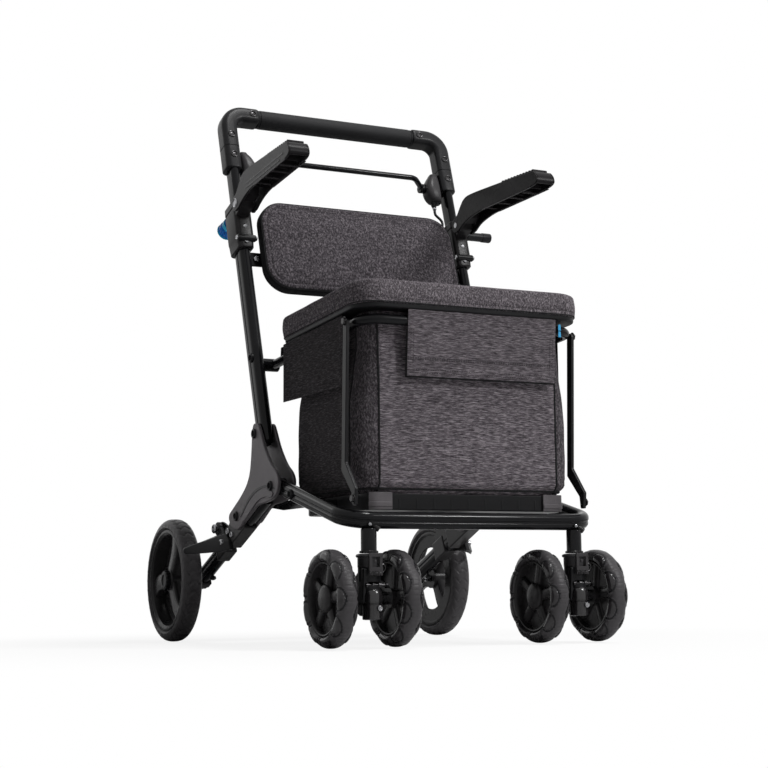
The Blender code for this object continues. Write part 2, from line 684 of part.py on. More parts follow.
def rear_leg(name, side):
    """Oval leg from the gussets to the rear wheel, with its axle and the brake's ears."""
    top = Vector((side * FRAME_X, LEG_TOP_Y, LEG_TOP_Z))
    foot = Vector((side * FRAME_X, REAR_Y, REAR_RADIUS))
    direction = (foot - top).normalized()
    bm = bmesh.new()
    loft(bm, sweep_rings([top, foot + direction * 0.010], oval(LEG_WIDTH, LEG_DEPTH, GROOVE_DEPTH),
                         direction.cross(Vector((1, 0, 0)))))
    body = finish(name, bm, BLACK_PAINT)
    face = FRAME_X + LEG_WIDTH / 2
    cap = rod(name + "_cap", (side * (FRAME_X - LEG_WIDTH / 2 - 0.001), REAR_Y, REAR_RADIUS),
              (side * (REAR_X - REAR_WIDTH / 2 - 0.001), REAR_Y, REAR_RADIUS), LEG_DEPTH / 2 + 0.001,
              BLACK_PAINT, 24)
    axle = rod(name + "_axle", (side * face, REAR_Y, REAR_RADIUS),
               (side * (REAR_X + REAR_WIDTH / 2 - 0.004), REAR_Y, REAR_RADIUS), AXLE_RADIUS, STEEL, 14)
    base_y = SHOE_PIVOT_Y - 0.040
    base_z = LEG_TOP_Z + (base_y - LEG_TOP_Y) * direction.z / direction.y
    heel_y = SHOE_PIVOT_Y + 0.012
    heel_z = LEG_TOP_Z + (heel_y - LEG_TOP_Y) * direction.z / direction.y
    ear = [(base_y, base_z), (base_y + 0.006, base_z + 0.024), (SHOE_PIVOT_Y - 0.010, SHOE_PIVOT_Z + 0.010),
           (SHOE_PIVOT_Y + 0.004, SHOE_PIVOT_Z + 0.011), (SHOE_PIVOT_Y + EAR_RADIUS, SHOE_PIVOT_Z),
           (heel_y + 0.002, heel_z)]
    bracket = plate(name + "_bracket", ear, side * (FRAME_X - LEG_WIDTH / 2 + 0.001),
                    side * (FRAME_X + LEG_WIDTH / 2 - 0.001), BLACK_PAINT)
    pin = rod(name + "_pin", (side * FRAME_X, SHOE_PIVOT_Y, SHOE_PIVOT_Z),
              (side * (SHOE_OUTER + 0.003), SHOE_PIVOT_Y, SHOE_PIVOT_Z), EAR_PIN, STEEL)
    return combine(body, "UNION", [cap, axle, bracket, pin])


SHOE_INNER = FRAME_X + LEG_WIDTH / 2 + GAP
SHOE_OUTER = SHOE_INNER + 0.008


def brake_shoe(name, side):
    """Brake shoe: a hub on the leg's pin, an arm, and a wing that reaches across the tread."""
    arc = []
    for radius in (REAR_RADIUS + SHOE_CLEAR, REAR_RADIUS + SHOE_CLEAR + SHOE_THICK):
        row = []
        for i in range(6):
            angle = math.pi - (SHOE_LOW + (SHOE_HIGH - SHOE_LOW) * i / 5)
            row.append((REAR_Y + radius * math.cos(angle), REAR_RADIUS + radius * math.sin(angle)))
        arc += row if not arc else row[::-1]
    pivot = (side * (SHOE_INNER + SHOE_OUTER) / 2, SHOE_PIVOT_Y, SHOE_PIVOT_Z)
    wing_end = REAR_X + REAR_WIDTH / 2
    body = plate(name, arc, side * SHOE_INNER, side * wing_end, PLASTIC, pivot)
    middle = math.pi - (SHOE_LOW + SHOE_HIGH) / 2
    radius = REAR_RADIUS + SHOE_CLEAR + SHOE_THICK / 2
    foot_y, foot_z = REAR_Y + radius * math.cos(middle), REAR_RADIUS + radius * math.sin(middle)
    arm = [(SHOE_PIVOT_Y - EAR_RADIUS * 0.8, SHOE_PIVOT_Z - 0.004), (foot_y - 0.006, foot_z - 0.012),
           (foot_y + 0.002, foot_z - 0.006), (foot_y + 0.008, foot_z + 0.014),
           (SHOE_PIVOT_Y + EAR_RADIUS * 0.8, SHOE_PIVOT_Z + 0.004), (SHOE_PIVOT_Y, SHOE_PIVOT_Z + 0.010)]
    web = plate(name + "_web", arm, side * SHOE_INNER, side * SHOE_OUTER, PLASTIC)
    hub = rod(name + "_hub", (side * SHOE_INNER, SHOE_PIVOT_Y, SHOE_PIVOT_Z),
              (side * SHOE_OUTER, SHOE_PIVOT_Y, SHOE_PIVOT_Z), EAR_RADIUS, PLASTIC)
    combine(body, "UNION", [web, hub])
    bore = rod(name + "_bore", (side * (SHOE_INNER - 0.01), SHOE_PIVOT_Y, SHOE_PIVOT_Z),
               (side * (SHOE_OUTER + 0.01), SHOE_PIVOT_Y, SHOE_PIVOT_Z), EAR_PIN + GAP, PLASTIC)
    return combine(body, "DIFFERENCE", [bore])


def tyre(name, centre, radius, width, rim):
    """Round-shouldered tyre."""
    half = width / 2
    profile = [(-half * 0.72, rim + GAP), (-half * 0.98, rim + 0.008), (-half * 0.86, radius - 0.006),
               (-half * 0.45, radius - 0.0008), (0.0, radius), (half * 0.45, radius - 0.0008),
               (half * 0.86, radius - 0.006), (half * 0.98, rim + 0.008), (half * 0.72, rim + GAP)]
    bm = bmesh.new()
    turned(bm, profile, centre, 28)
    return finish(name, bm, TYRE, centre)


def wheel_rim(name, centre, rim, hub, width, spokes):
    """Rim with broad spokes from a bored hub."""
    half = width / 2
    bm = bmesh.new()
    turned(bm, [(-half * 0.72, rim), (-half * 0.72, rim - 0.006), (half * 0.72, rim - 0.006),
                (half * 0.72, rim)], centre, 28)
    body = finish(name, bm, PLASTIC, centre)
    bm = bmesh.new()
    turned(bm, [(-half * 0.6, hub), (-half * 0.6, AXLE_RADIUS + GAP), (half * 0.6, AXLE_RADIUS + GAP),
                (half * 0.6, hub)], centre, 14)
    parts = [finish(name + "_hub", bm, PLASTIC)]
    for i in range(spokes):
        angle = math.pi / 2 + 2 * math.pi * i / spokes
        out = Vector((0.0, math.cos(angle), math.sin(angle)))
        across = Vector((0.0, -math.sin(angle), math.cos(angle)))
        rings = []
        for reach, wide in ((hub - 0.004, hub * 0.55), (rim - 0.003, hub * 0.75)):
            middle = Vector(centre) + out * reach
            rings.append([middle + across * (wide * a) + Vector((half * 0.42 * b, 0, 0))
                          for a, b in ((-1, -1), (1, -1), (1, 1), (-1, 1))])
        bm = bmesh.new()
        loft(bm, rings)
        parts.append(finish(f"{name}_spoke_{i}", bm, PLASTIC))
    return combine(body, "UNION", parts)


LOWER_SLOPE = (FOLD_Z - LOWER_FRONT_Z) / (FOLD_Y - LOWER_FRONT_Y)


def lower_height(y):
    """Height of the lower frame's centre line at a given Y."""
    return LOWER_FRONT_Z + (y - LOWER_FRONT_Y) * LOWER_SLOPE


def lower_frame():
    """U of oval tube that carries tray and casters and folds about the gusset pins."""
    corners = [(-LOWER_X, FOLD_Y, FOLD_Z), (-LOWER_X, LOWER_FRONT_Y, LOWER_FRONT_Z),
               (LOWER_X, LOWER_FRONT_Y, LOWER_FRONT_Z), (LOWER_X, FOLD_Y, FOLD_Z)]
    normal = Vector((0.0, -LOWER_SLOPE, 1.0)).normalized()
    bm = bmesh.new()
    loft(bm, sweep_rings(rounded_path(corners, LOWER_CORNER, 7),
                         oval(LOWER_WIDTH, LOWER_DEPTH, GROOVE_DEPTH), normal))
    pivot = (0.0, FOLD_Y, FOLD_Z)
    body = finish("lower_frame", bm, BLACK_PAINT, pivot)
    ends, holes = [], []
    half = LOWER_WIDTH / 2 - GAP
    for side_name, side in SIDES:
        ends.append(rod("lower_end_" + side_name, (side * (LOWER_X - half), FOLD_Y, FOLD_Z),
                        (side * (LOWER_X + half), FOLD_Y, FOLD_Z), LOWER_DEPTH / 2, BLACK_PAINT, 20))
        ends.append(rod("catch_pin_" + side_name, (side * LOWER_X, CATCH_Y, lower_height(CATCH_Y)),
                        (side * (STAY_X - STAY_THICK - 0.002), CATCH_Y, lower_height(CATCH_Y)),
                        CATCH_PIN, BLACK_PAINT, 14))
        holes.append(rod("lower_hole_" + side_name, (side * (LOWER_X - 0.02), FOLD_Y, FOLD_Z),
                         (side * (LOWER_X + 0.02), FOLD_Y, FOLD_Z), FOLD_PIN + GAP, BLACK_PAINT))
        holes.append(rod("stem_hole_" + side_name, (side * CASTER_X, STEM_Y, LOWER_FRONT_Z - 0.03),
                         (side * CASTER_X, STEM_Y, LOWER_FRONT_Z + 0.03), SPIGOT_RADIUS + GAP, BLACK_PAINT))
    combine(body, "UNION", ends)
    return combine(body, "DIFFERENCE", holes)


def bag_tray():
    """Shallow tray under the bag, on the front tube and on two side lugs."""
    width = 2 * TRAY_HALF
    depth = TRAY_REAR_Y - TRAY_FRONT_Y
    middle = (TRAY_REAR_Y + TRAY_FRONT_Y) / 2
    bm = bmesh.new()
    loft(bm, [[(u, middle + v, z) for u, v in rounded_rectangle(width, depth, TRAY_CORNER)]
              for z in (TRAY_FOOT, TRAY_FOOT + TRAY_HEIGHT)])
    body = finish("bag_tray", bm, BLACK_PAINT, (0.0, FOLD_Y, FOLD_Z))
    lugs = []
    for side_name, side in SIDES:
        bm = bmesh.new()
        reach = LOWER_X - LOWER_WIDTH / 2 - GAP
        low = TRAY_FOOT + 0.003
        prism(bm, [(LUG_Y - LUG_SIZE / 2, low), (LUG_Y + LUG_SIZE / 2, low),
                   (LUG_Y + LUG_SIZE / 2, low + LUG_SIZE), (LUG_Y - LUG_SIZE / 2, low + LUG_SIZE)],
              side * (TRAY_HALF - 0.002), side * reach)
        lugs.append(finish("tray_lug_" + side_name, bm, BLACK_PAINT))
    combine(body, "UNION", lugs)
    bm = bmesh.new()
    inside = rounded_rectangle(width - 2 * TRAY_WALL, depth - 2 * TRAY_WALL, TRAY_CORNER - TRAY_WALL)
    loft(bm, [[(u, middle + v, z) for u, v in inside]
              for z in (TRAY_FOOT + TRAY_FLOOR, TRAY_FOOT + TRAY_HEIGHT + 0.01)])
    return combine(body, "DIFFERENCE", [finish("tray_inside", bm, BLACK_PAINT)])


def lid_under(y):
    """Height of the lid's underside, which rises towards the front."""
    return LID_FOOT + (LID_REAR_Y - y) * math.tan(LID_TILT)


def seat_frame():
    """U of round tube under the lid, pivoting on the uprights."""
    pivot = Vector((0.0, SEAT_PIVOT_Y, SEAT_PIVOT_Z))
    corners = [(-SEAT_X, SEAT_PIVOT_Y, SEAT_PIVOT_Z), (-SEAT_X, SEAT_FRONT_Y, SEAT_FRONT_Z),
               (SEAT_X, SEAT_FRONT_Y, SEAT_FRONT_Z), (SEAT_X, SEAT_PIVOT_Y, SEAT_PIVOT_Z)]
    slope = (SEAT_FRONT_Z - SEAT_PIVOT_Z) / (SEAT_FRONT_Y - SEAT_PIVOT_Y)
    bm = bmesh.new()
    loft(bm, sweep_rings(rounded_path(corners, SEAT_CORNER, 6), circle(SEAT_TUBE, 12),
                         Vector((0.0, -slope, 1.0))))
    body = finish("seat_frame", bm, BLACK_PAINT, pivot)
    parts = []
    reach = FRAME_X - TUBE_WIDTH / 2 - GAP
    bolt_z = post_top_height()
    for side_name, side in SIDES:
        bm = bmesh.new()
        front, rear = LID_REAR_Y - EAR_HALF_Y, LID_REAR_Y + EAR_HALF_Y
        low = SEAT_PIVOT_Z + 0.004
        prism(bm, [(front, low), (rear, low), (rear, lid_under(rear) - GAP),
                   (front, lid_under(front) - GAP)],
              side * (SEAT_X + 0.001 - EAR_HALF_X), side * (SEAT_X + 0.001 + EAR_HALF_X))
        parts.append(finish("seat_ear_" + side_name, bm, BLACK_PAINT))
        parts.append(rod("seat_boss_" + side_name, (side * (SEAT_X - SEAT_TUBE - 0.001), *pivot.yz),
                         (side * reach, *pivot.yz), SEAT_BOSS, BLACK_PAINT))
        parts.append(rod("seat_bolt_" + side_name, (side * SEAT_X, POST_TOP_Y, bolt_z),
                         (side * (POST_INNER + POST_THICK + 0.002), POST_TOP_Y, bolt_z),
                         EAR_PIN, BLACK_PAINT))
    return combine(body, "UNION", parts)


def post_top_height():
    """Height of the seat tube where the posts hang on it."""
    share = (POST_TOP_Y - SEAT_PIVOT_Y) / (SEAT_FRONT_Y - SEAT_PIVOT_Y)
    return SEAT_PIVOT_Z + share * (SEAT_FRONT_Z - SEAT_PIVOT_Z)


POST_INNER = SEAT_X + SEAT_TUBE + FLAP_THICK + 3 * GAP + POST_CLEAR
STEM_Y = LOWER_FRONT_Y
FRONT_AXLE_Y = STEM_Y + CASTER_TRAIL


def seat_post(name, side):
    """Flat bar from the seat frame down to the lower frame, cranked forward at its foot."""
    top_z = post_top_height()
    half = POST_WIDTH / 2
    outline = [(POST_TOP_Y - half, top_z - 0.004), (POST_TOP_Y - half * 0.7, top_z + half * 0.75),
               (POST_TOP_Y + half * 0.7, top_z + half * 0.75), (POST_TOP_Y + half, top_z - 0.004),
               (POST_KINK_Y + half, POST_KINK_Z), (POST_FOOT_Y + half, POST_FOOT_Z + 0.012),
               (POST_FOOT_Y + half * 0.6, POST_FOOT_Z - half), (POST_FOOT_Y - half * 0.6, POST_FOOT_Z - half),
               (POST_FOOT_Y - half, POST_FOOT_Z + 0.018), (POST_KINK_Y - half, POST_KINK_Z + 0.012)]
    pivot = (side * (POST_INNER + POST_THICK / 2), POST_TOP_Y, top_z)
    body = plate(name, outline, side * POST_INNER, side * (POST_INNER + POST_THICK), BLACK_PAINT, pivot)
    hole = rod(name + "_hole", (side * (POST_INNER - 0.01), POST_TOP_Y, top_z),
               (side * (POST_INNER + 0.02), POST_TOP_Y, top_z), EAR_PIN + GAP, BLACK_PAINT)
    return combine(body, "DIFFERENCE", [hole])


def seat_lid():
    """Padded seat that is also the bag's lid: crowned, with round corners."""
    width = 2 * LID_HALF
    depth = LID_REAR_Y - LID_FRONT_Y
    middle = (LID_REAR_Y + LID_FRONT_Y) / 2
    bm = bmesh.new()
    rings = []
    for share, inset in ((0.0, 0.006), (0.17, 0.003), (0.5, 0.0), (0.85, 0.001), (1.0, 0.008)):
        outline = rounded_rectangle(width - 2 * inset, depth - 2 * inset, LID_CORNER - inset)
        rings.append([(u, middle + v, LID_FOOT + share * LID_HEIGHT) for u, v in outline])
    for share, rise in ((0.75, 0.6), (0.4, 1.0)):
        outline = rounded_rectangle(width * share, depth * share, LID_CORNER * share)
        rings.append([(u, middle + v, LID_FOOT + LID_HEIGHT + rise * LID_CROWN) for u, v in outline])
    loft(bm, rings)
    bmesh.ops.rotate(bm, verts=bm.verts, cent=(0.0, LID_REAR_Y, LID_FOOT),
                     matrix=Matrix.Rotation(-LID_TILT, 3, "X"))
    return finish("seat_lid", bm, FABRIC, (0.0, LID_REAR_Y, LID_FOOT))


def bag_levels(inset):
    """Rings of the bag's outside, or of its inside when drawn in by the wall's thickness."""
    floor_half = TRAY_HALF - TRAY_WALL - 2 * GAP
    floor_front = TRAY_FRONT_Y + TRAY_WALL + 2 * GAP
    floor_rear = TRAY_REAR_Y - TRAY_WALL - 2 * GAP
    top_half = SEAT_X - SEAT_TUBE - 3 * GAP
    tray_top = TRAY_FOOT + TRAY_HEIGHT
    rings = []
    for z, half, front, rear, corner in (
            (BAG_FOOT + inset, floor_half, floor_front, floor_rear, 0.018),
            (tray_top, floor_half, floor_front, floor_rear, 0.018),
            (tray_top + 0.022, BAG_BELLY, BAG_FRONT_Y, BAG_REAR_Y, 0.030),
            (SIDE_FLAP_FOOT - 0.020, BAG_BELLY, BAG_FRONT_Y, BAG_REAR_Y, 0.030),
            (SEAT_PIVOT_Z - 0.020, top_half, BAG_FRONT_Y, BAG_REAR_Y, 0.030),
            (None, top_half, BAG_FRONT_Y, BAG_REAR_Y, 0.030)):
        outline = rounded_rectangle(2 * (half - inset), rear - front - 2 * inset, corner - inset)
        places = [(u, (front + rear) / 2 + v) for u, v in outline]
        rings.append([(u, y, lid_under(y) - RIM_CLEAR + 2 * inset if z is None else z)
                      for u, y in places])
    return rings


def bag():
    """Fabric shopping bag that stands in the tray, open under the lid."""
    bm = bmesh.new()
    loft(bm, bag_levels(0.0))
    body = finish("bag", bm, FABRIC, (0.0, SEAT_PIVOT_Y, SEAT_PIVOT_Z))
    bm = bmesh.new()
    loft(bm, bag_levels(BAG_WALL))
    return combine(body, "DIFFERENCE", [finish("bag_inside", bm, FABRIC)])


def front_flap():
    """Fabric flap that hangs over the seat frame's front tube."""
    front = SEAT_FRONT_Y - SEAT_TUBE - GAP
    top = lid_under(front) - RIM_CLEAR
    left, right = FLAP_MIDDLE - FLAP_HALF, FLAP_MIDDLE + FLAP_HALF
    bm = bmesh.new()
    loft(bm, [[(x, y, z) for x, z in ((left, FLAP_FOOT), (right, FLAP_FOOT), (right, top), (left, top))]
              for y in (front - FLAP_THICK, front)])
    return finish("front_flap", bm, FABRIC, (0.0, SEAT_PIVOT_Y, SEAT_PIVOT_Z))


def side_flap(name, side):
    """Fabric flap that hangs over a side tube of the seat frame."""
    near = SEAT_X + SEAT_TUBE + GAP
    outline = [(SIDE_FLAP_FRONT_Y, SIDE_FLAP_FOOT), (SIDE_FLAP_REAR_Y, SIDE_FLAP_FOOT),
               (SIDE_FLAP_REAR_Y, lid_under(SIDE_FLAP_REAR_Y) - RIM_CLEAR),
               (SIDE_FLAP_FRONT_Y, lid_under(SIDE_FLAP_FRONT_Y) - RIM_CLEAR)]
    return plate(name, outline, side * near, side * (near + FLAP_THICK), FABRIC,
                 (0.0, SEAT_PIVOT_Y, SEAT_PIVOT_Z))


def caster_stem(name, side):
    """Stem under the front tube, with the spigots above and below."""
    x = side * CASTER_X
    flush = LOWER_FRONT_Z - LOWER_DEPTH / 2 - 0.0035
    body = rod(name, (x, STEM_Y, STEM_FOOT), (x, STEM_Y, flush), STEM_RADIUS, BLACK_PAINT, 20)
    upper = rod(name + "_upper", (x, STEM_Y, flush - 0.004),
                (x, STEM_Y, LOWER_FRONT_Z + LOWER_DEPTH / 2), SPIGOT_RADIUS, BLACK_PAINT)
    lower = rod(name + "_lower", (x, STEM_Y, FORK_TOP - 0.030), (x, STEM_Y, STEM_FOOT + 0.004),
                SPIGOT_RADIUS, BLACK_PAINT)
    return combine(body, "UNION", [upper, lower])


def caster_fork(name, side):
    """Swivelling block between the twin wheels, trailing behind its stem, with their axle."""
    x = side * CASTER_X
    outline = [(STEM_Y - 0.016, FORK_TOP - 0.026), (STEM_Y + 0.016, FORK_TOP - 0.026),
               (FRONT_AXLE_Y + 0.013, FRONT_RADIUS + 0.006), (FRONT_AXLE_Y + 0.012, FRONT_RADIUS - 0.008),
               (FRONT_AXLE_Y + 0.004, FRONT_RADIUS - 0.013), (FRONT_AXLE_Y - 0.018, FORK_FOOT),
               (STEM_Y - 0.012, FORK_FOOT + 0.004), (STEM_Y - 0.017, FORK_FOOT + 0.022)]
    pivot = (x, STEM_Y, FORK_TOP)
    body = plate(name, outline, x - FORK_HALF, x + FORK_HALF, PLASTIC, pivot)
    collar = rod(name + "_collar", (x, STEM_Y, FORK_TOP - 0.040), (x, STEM_Y, FORK_TOP),
                 FORK_COLLAR, PLASTIC, 20)
    reach = TWIN_SPREAD + FRONT_WIDTH * 0.3 + 0.003
    axle = rod(name + "_axle", (x - reach, FRONT_AXLE_Y, FRONT_RADIUS),
               (x + reach, FRONT_AXLE_Y, FRONT_RADIUS), AXLE_RADIUS, STEEL, 14)
    spacer_reach = TWIN_SPREAD - FRONT_WIDTH * 0.3 - GAP
    spacer = rod(name + "_spacer", (x - spacer_reach, FRONT_AXLE_Y, FRONT_RADIUS),
                 (x + spacer_reach, FRONT_AXLE_Y, FRONT_RADIUS), AXLE_RADIUS + 0.004, PLASTIC, 14)
    combine(body, "UNION", [collar, spacer, axle])
    bore = rod(name + "_bore", (x, STEM_Y, FORK_TOP - 0.030 - GAP), (x, STEM_Y, FORK_TOP + 0.01),
               SPIGOT_RADIUS + GAP, PLASTIC)
    return combine(body, "DIFFERENCE", [bore])


def swivel_lock(name, side):
    """Sliding plate on the fork's front that drops to free the swivel."""
    x = side * CASTER_X
    near = STEM_Y - FORK_COLLAR - GAP
    bm = bmesh.new()
    loft(bm, [[(x + u, y, z) for u, z in ((-LOCK_HALF, LOCK_FOOT), (LOCK_HALF, LOCK_FOOT),
                                          (LOCK_HALF, LOCK_TOP), (-LOCK_HALF, LOCK_TOP))]
              for y in (near - LOCK_THICK, near)])
    body = finish(name, bm, PLASTIC, (x, near, LOCK_FOOT))
    bm = bmesh.new()
    window = LOCK_HALF * 0.5
    loft(bm, [[(x + u, y, z) for u, z in ((-window, LOCK_TOP - 0.022), (window, LOCK_TOP - 0.022),
                                          (window, LOCK_TOP - 0.007), (-window, LOCK_TOP - 0.007))]
              for y in (near - 0.01, near + 0.01)])
    return combine(body, "DIFFERENCE", [finish(name + "_window", bm, PLASTIC)])


def fold_hook(name, side):
    """Flat catch on the gusset's inner side, with a notch from above for the lower frame's pin."""
    catch_z = lower_height(CATCH_Y)
    reach = CATCH_PIN + 1.5 * GAP
    eye = [(STAY_Y + HOOK_EYE * math.cos(angle), STAY_Z + HOOK_EYE * math.sin(angle))
           for angle in [math.radians(degrees) for degrees in range(-100, 105, 25)]]
    outline = eye + [
        (HOOK_BEND_Y, catch_z - HOOK_DROP * 0.3), (CATCH_Y + HOOK_NOSE * 0.78, catch_z - HOOK_DROP * 0.15),
        (CATCH_Y + reach, catch_z),
        (CATCH_Y + reach, catch_z - CATCH_PIN * 0.6), (CATCH_Y + CATCH_PIN * 0.5, catch_z - reach),
        (CATCH_Y - CATCH_PIN * 0.5, catch_z - reach), (CATCH_Y - reach, catch_z - CATCH_PIN * 0.6),
        (CATCH_Y - reach, catch_z), (CATCH_Y - HOOK_NOSE * 0.67, catch_z - HOOK_DROP * 0.1),
        (CATCH_Y - HOOK_NOSE, catch_z - HOOK_DROP * 0.6), (CATCH_Y - HOOK_NOSE * 0.67, catch_z - HOOK_DROP),
        (HOOK_BEND_Y, catch_z - HOOK_DROP)]
    body = plate(name, outline, side * STAY_X, side * (STAY_X - STAY_THICK), BLACK_PAINT,
                 (side * (STAY_X - STAY_THICK / 2), STAY_Y, STAY_Z))
    hole = rod(name + "_hole", (side * (STAY_X + 0.01), STAY_Y, STAY_Z),
               (side * (STAY_X - 0.02), STAY_Y, STAY_Z), STAY_PIN + GAP, BLACK_PAINT, 14)
    return combine(body, "DIFFERENCE", [hole])


CABLE_ROUTE = ((-0.019, 0.462, 0.000), (-0.0195, 0.445, -0.004), (-0.0195, 0.400, -0.022),
               (-0.020, 0.340, -0.028), (-0.019, 0.260, -0.027), (-0.019, 0.160, -0.027),
               (-0.019, 0.080, -0.028))
LEG_ROUTE = ((-0.019, 0.040, 0.262), (-0.019, 0.085, 0.234), (-0.016, 0.125, 0.216))


def brake_cable(name, side):
    """Brake cable from the boot down behind the upright and along the leg to the shoe."""
    outward = (HOUSING_OUTER + HOUSING_INNER) / 2 - FRAME_X
    start = along_upright(side, HOUSING_FOOT - BOOT_LENGTH - 2 * GAP, 0.0, outward)
    points = [start, start - UP * 0.010]
    for out, s, forward in CABLE_ROUTE:
        points.append(along_upright(side, s, forward, out))
    for out, y, z in LEG_ROUTE:
        points.append(Vector((side * (FRAME_X + out), y, z)))
    smooth = []
    for i in range(len(points) - 1):
        p0, p1 = points[max(i - 1, 0)], points[i]
        p2, p3 = points[i + 1], points[min(i + 2, len(points) - 1)]
        steps = max(2, round((p2 - p1).length / (9 * CABLE_RADIUS)))
        for k in range(steps):
            t = k / steps
            smooth.append(0.5 * (2 * p1 + (p2 - p0) * t + (2 * p0 - 5 * p1 + 4 * p2 - p3) * t * t
                                 + (3 * p1 - p0 - 3 * p2 + p3) * t ** 3))
    smooth.append(points[-1])
    curve = bpy.data.curves.new(name, "CURVE")
    curve.dimensions = "3D"
    curve.bevel_depth = CABLE_RADIUS
    curve.bevel_resolution = 2
    curve.use_fill_caps = True
    spline = curve.splines.new("POLY")
    spline.points.add(len(smooth) - 1)
    for point, place in zip(spline.points, smooth):
        point.co = (*place, 1.0)
    curve.materials.append(SOFT_GRIP)
    cable = bpy.data.objects.new(name, curve)
    bpy.context.collection.objects.link(cable)
    return cable


for side_name, side_sign in SIDES:
    upright("upright_tube_" + side_name, side_sign)
    inner_tube("inner_tube_" + side_name, side_sign)
    elbow("handle_elbow_" + side_name, side_sign)
    brake_housing("brake_housing_" + side_name, side_sign)
    height_clamp("height_clamp_" + side_name, side_sign)
    height_knob("height_knob_" + side_name, side_sign)
    armrest("armrest_" + side_name, side_sign)
    gusset("gusset_outer_" + side_name, side_sign, True)
    gusset("gusset_inner_" + side_name, side_sign, False)
    rear_leg("rear_leg_" + side_name, side_sign)
    brake_shoe("brake_shoe_" + side_name, side_sign)
    rear_centre = (side_sign * REAR_X, REAR_Y, REAR_RADIUS)
    tyre("rear_tyre_" + side_name, rear_centre, REAR_RADIUS, REAR_WIDTH, REAR_RIM)
    wheel_rim("rear_rim_" + side_name, rear_centre, REAR_RIM, REAR_HUB, REAR_WIDTH, REAR_SPOKES)
    seat_post("seat_post_" + side_name, side_sign)
    side_flap("side_flap_" + side_name, side_sign)
    caster_stem("caster_stem_" + side_name, side_sign)
    caster_fork("caster_fork_" + side_name, side_sign)
    swivel_lock("swivel_lock_" + side_name, side_sign)
    fold_hook("fold_hook_" + side_name, side_sign)
    brake_cable("brake_cable_" + side_name, side_sign)
    for place, offset in (("outer", TWIN_SPREAD), ("inner", -TWIN_SPREAD)):
        front_centre = (side_sign * (CASTER_X + offset), FRONT_AXLE_Y, FRONT_RADIUS)
        tyre(f"front_tyre_{side_name}_{place}", front_centre, FRONT_RADIUS, FRONT_WIDTH, FRONT_RIM)
        wheel_rim(f"front_rim_{side_name}_{place}", front_centre, FRONT_RIM, FRONT_HUB, FRONT_WIDTH,
                  FRONT_SPOKES)

grip()
brake_bar()
accessory_peg()
backrest_pad()
backrest_rail()
lower_frame()
bag_tray()
seat_frame()
seat_lid()
bag()
front_flap()
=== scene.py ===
"""Looks of the folding shopping walker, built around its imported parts.

Metres, +Z up, the front faces -Y. Each section is one piece or one group of like pieces.
"""

import math

import bmesh
import bpy
from mathutils import Matrix, Vector


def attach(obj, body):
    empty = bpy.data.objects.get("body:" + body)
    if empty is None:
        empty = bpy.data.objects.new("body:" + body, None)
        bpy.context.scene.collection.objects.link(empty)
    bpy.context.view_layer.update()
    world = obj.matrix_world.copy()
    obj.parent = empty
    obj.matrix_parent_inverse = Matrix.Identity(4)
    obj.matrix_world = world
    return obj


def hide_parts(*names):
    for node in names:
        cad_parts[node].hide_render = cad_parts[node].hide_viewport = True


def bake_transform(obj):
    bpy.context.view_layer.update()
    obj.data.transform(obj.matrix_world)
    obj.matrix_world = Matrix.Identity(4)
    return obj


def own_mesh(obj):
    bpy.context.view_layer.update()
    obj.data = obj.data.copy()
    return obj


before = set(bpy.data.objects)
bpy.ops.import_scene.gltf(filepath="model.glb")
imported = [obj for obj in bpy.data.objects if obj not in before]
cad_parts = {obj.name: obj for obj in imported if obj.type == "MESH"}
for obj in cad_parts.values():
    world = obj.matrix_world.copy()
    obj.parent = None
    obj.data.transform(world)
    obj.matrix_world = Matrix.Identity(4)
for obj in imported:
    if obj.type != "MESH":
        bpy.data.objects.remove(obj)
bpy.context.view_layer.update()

# Camera, lamps and floor
# The walker stands on a pale floor in a white studio. The camera is low, ahead of the walker's
# left front corner, and looks slightly up. Soft lamps hang over, before and behind the walker.
CAMERA_PLACE = Vector((-1.249, -2.538, 0.084))
CAMERA_TURN = math.radians(26.5)
CAMERA_PITCH = math.radians(7.22)
CAMERA_ROLL = math.radians(-0.66)
LENS_MM = 76.88

look = Vector((math.sin(CAMERA_TURN) * math.cos(CAMERA_PITCH),
               math.cos(CAMERA_TURN) * math.cos(CAMERA_PITCH), math.sin(CAMERA_PITCH)))
level_right = Vector((math.cos(CAMERA_TURN), -math.sin(CAMERA_TURN), 0.0))
level_up = level_right.cross(look)
right = level_right * math.cos(CAMERA_ROLL) + level_up * math.sin(CAMERA_ROLL)
upward = level_up * math.cos(CAMERA_ROLL) - level_right * math.sin(CAMERA_ROLL)
camera_data = bpy.data.cameras.new("camera")
camera_data.lens = LENS_MM
camera_data.sensor_width = 36.0
camera = bpy.data.objects.new("camera", camera_data)
camera.matrix_world = Matrix((
    (right.x, upward.x, -look.x, CAMERA_PLACE.x),
    (right.y, upward.y, -look.y, CAMERA_PLACE.y),
    (right.z, upward.z, -look.z, CAMERA_PLACE.z),
    (0.0, 0.0, 0.0, 1.0)))
bpy.context.collection.objects.link(camera)
bpy.context.scene.camera = camera
bpy.context.scene.view_settings.view_transform = "Standard"


def hang_lamp(name, place, target, size, watts):
    """A square soft lamp that faces a point."""
    lamp = bpy.data.lights.new(name, "AREA")
    lamp.size = size
    lamp.energy = watts
    holder = bpy.data.objects.new(name, lamp)
    holder.location = place
    holder.rotation_euler = (Vector(target) - Vector(place)).to_track_quat("-Z", "Y").to_euler()
    bpy.context.collection.objects.link(holder)


hang_lamp("top_lamp", (0.5, -0.9, 3.2), (0.0, 0.0, 0.4), 0.5, 54.0)
hang_lamp("front_lamp", (1.6, -2.5, 2.3), (0.0, 0.0, 0.5), 0.5, 60.0)
hang_lamp("rear_lamp", (-1.6, 2.4, 2.0), (0.0, 0.0, 0.6), 0.8, 3.5)

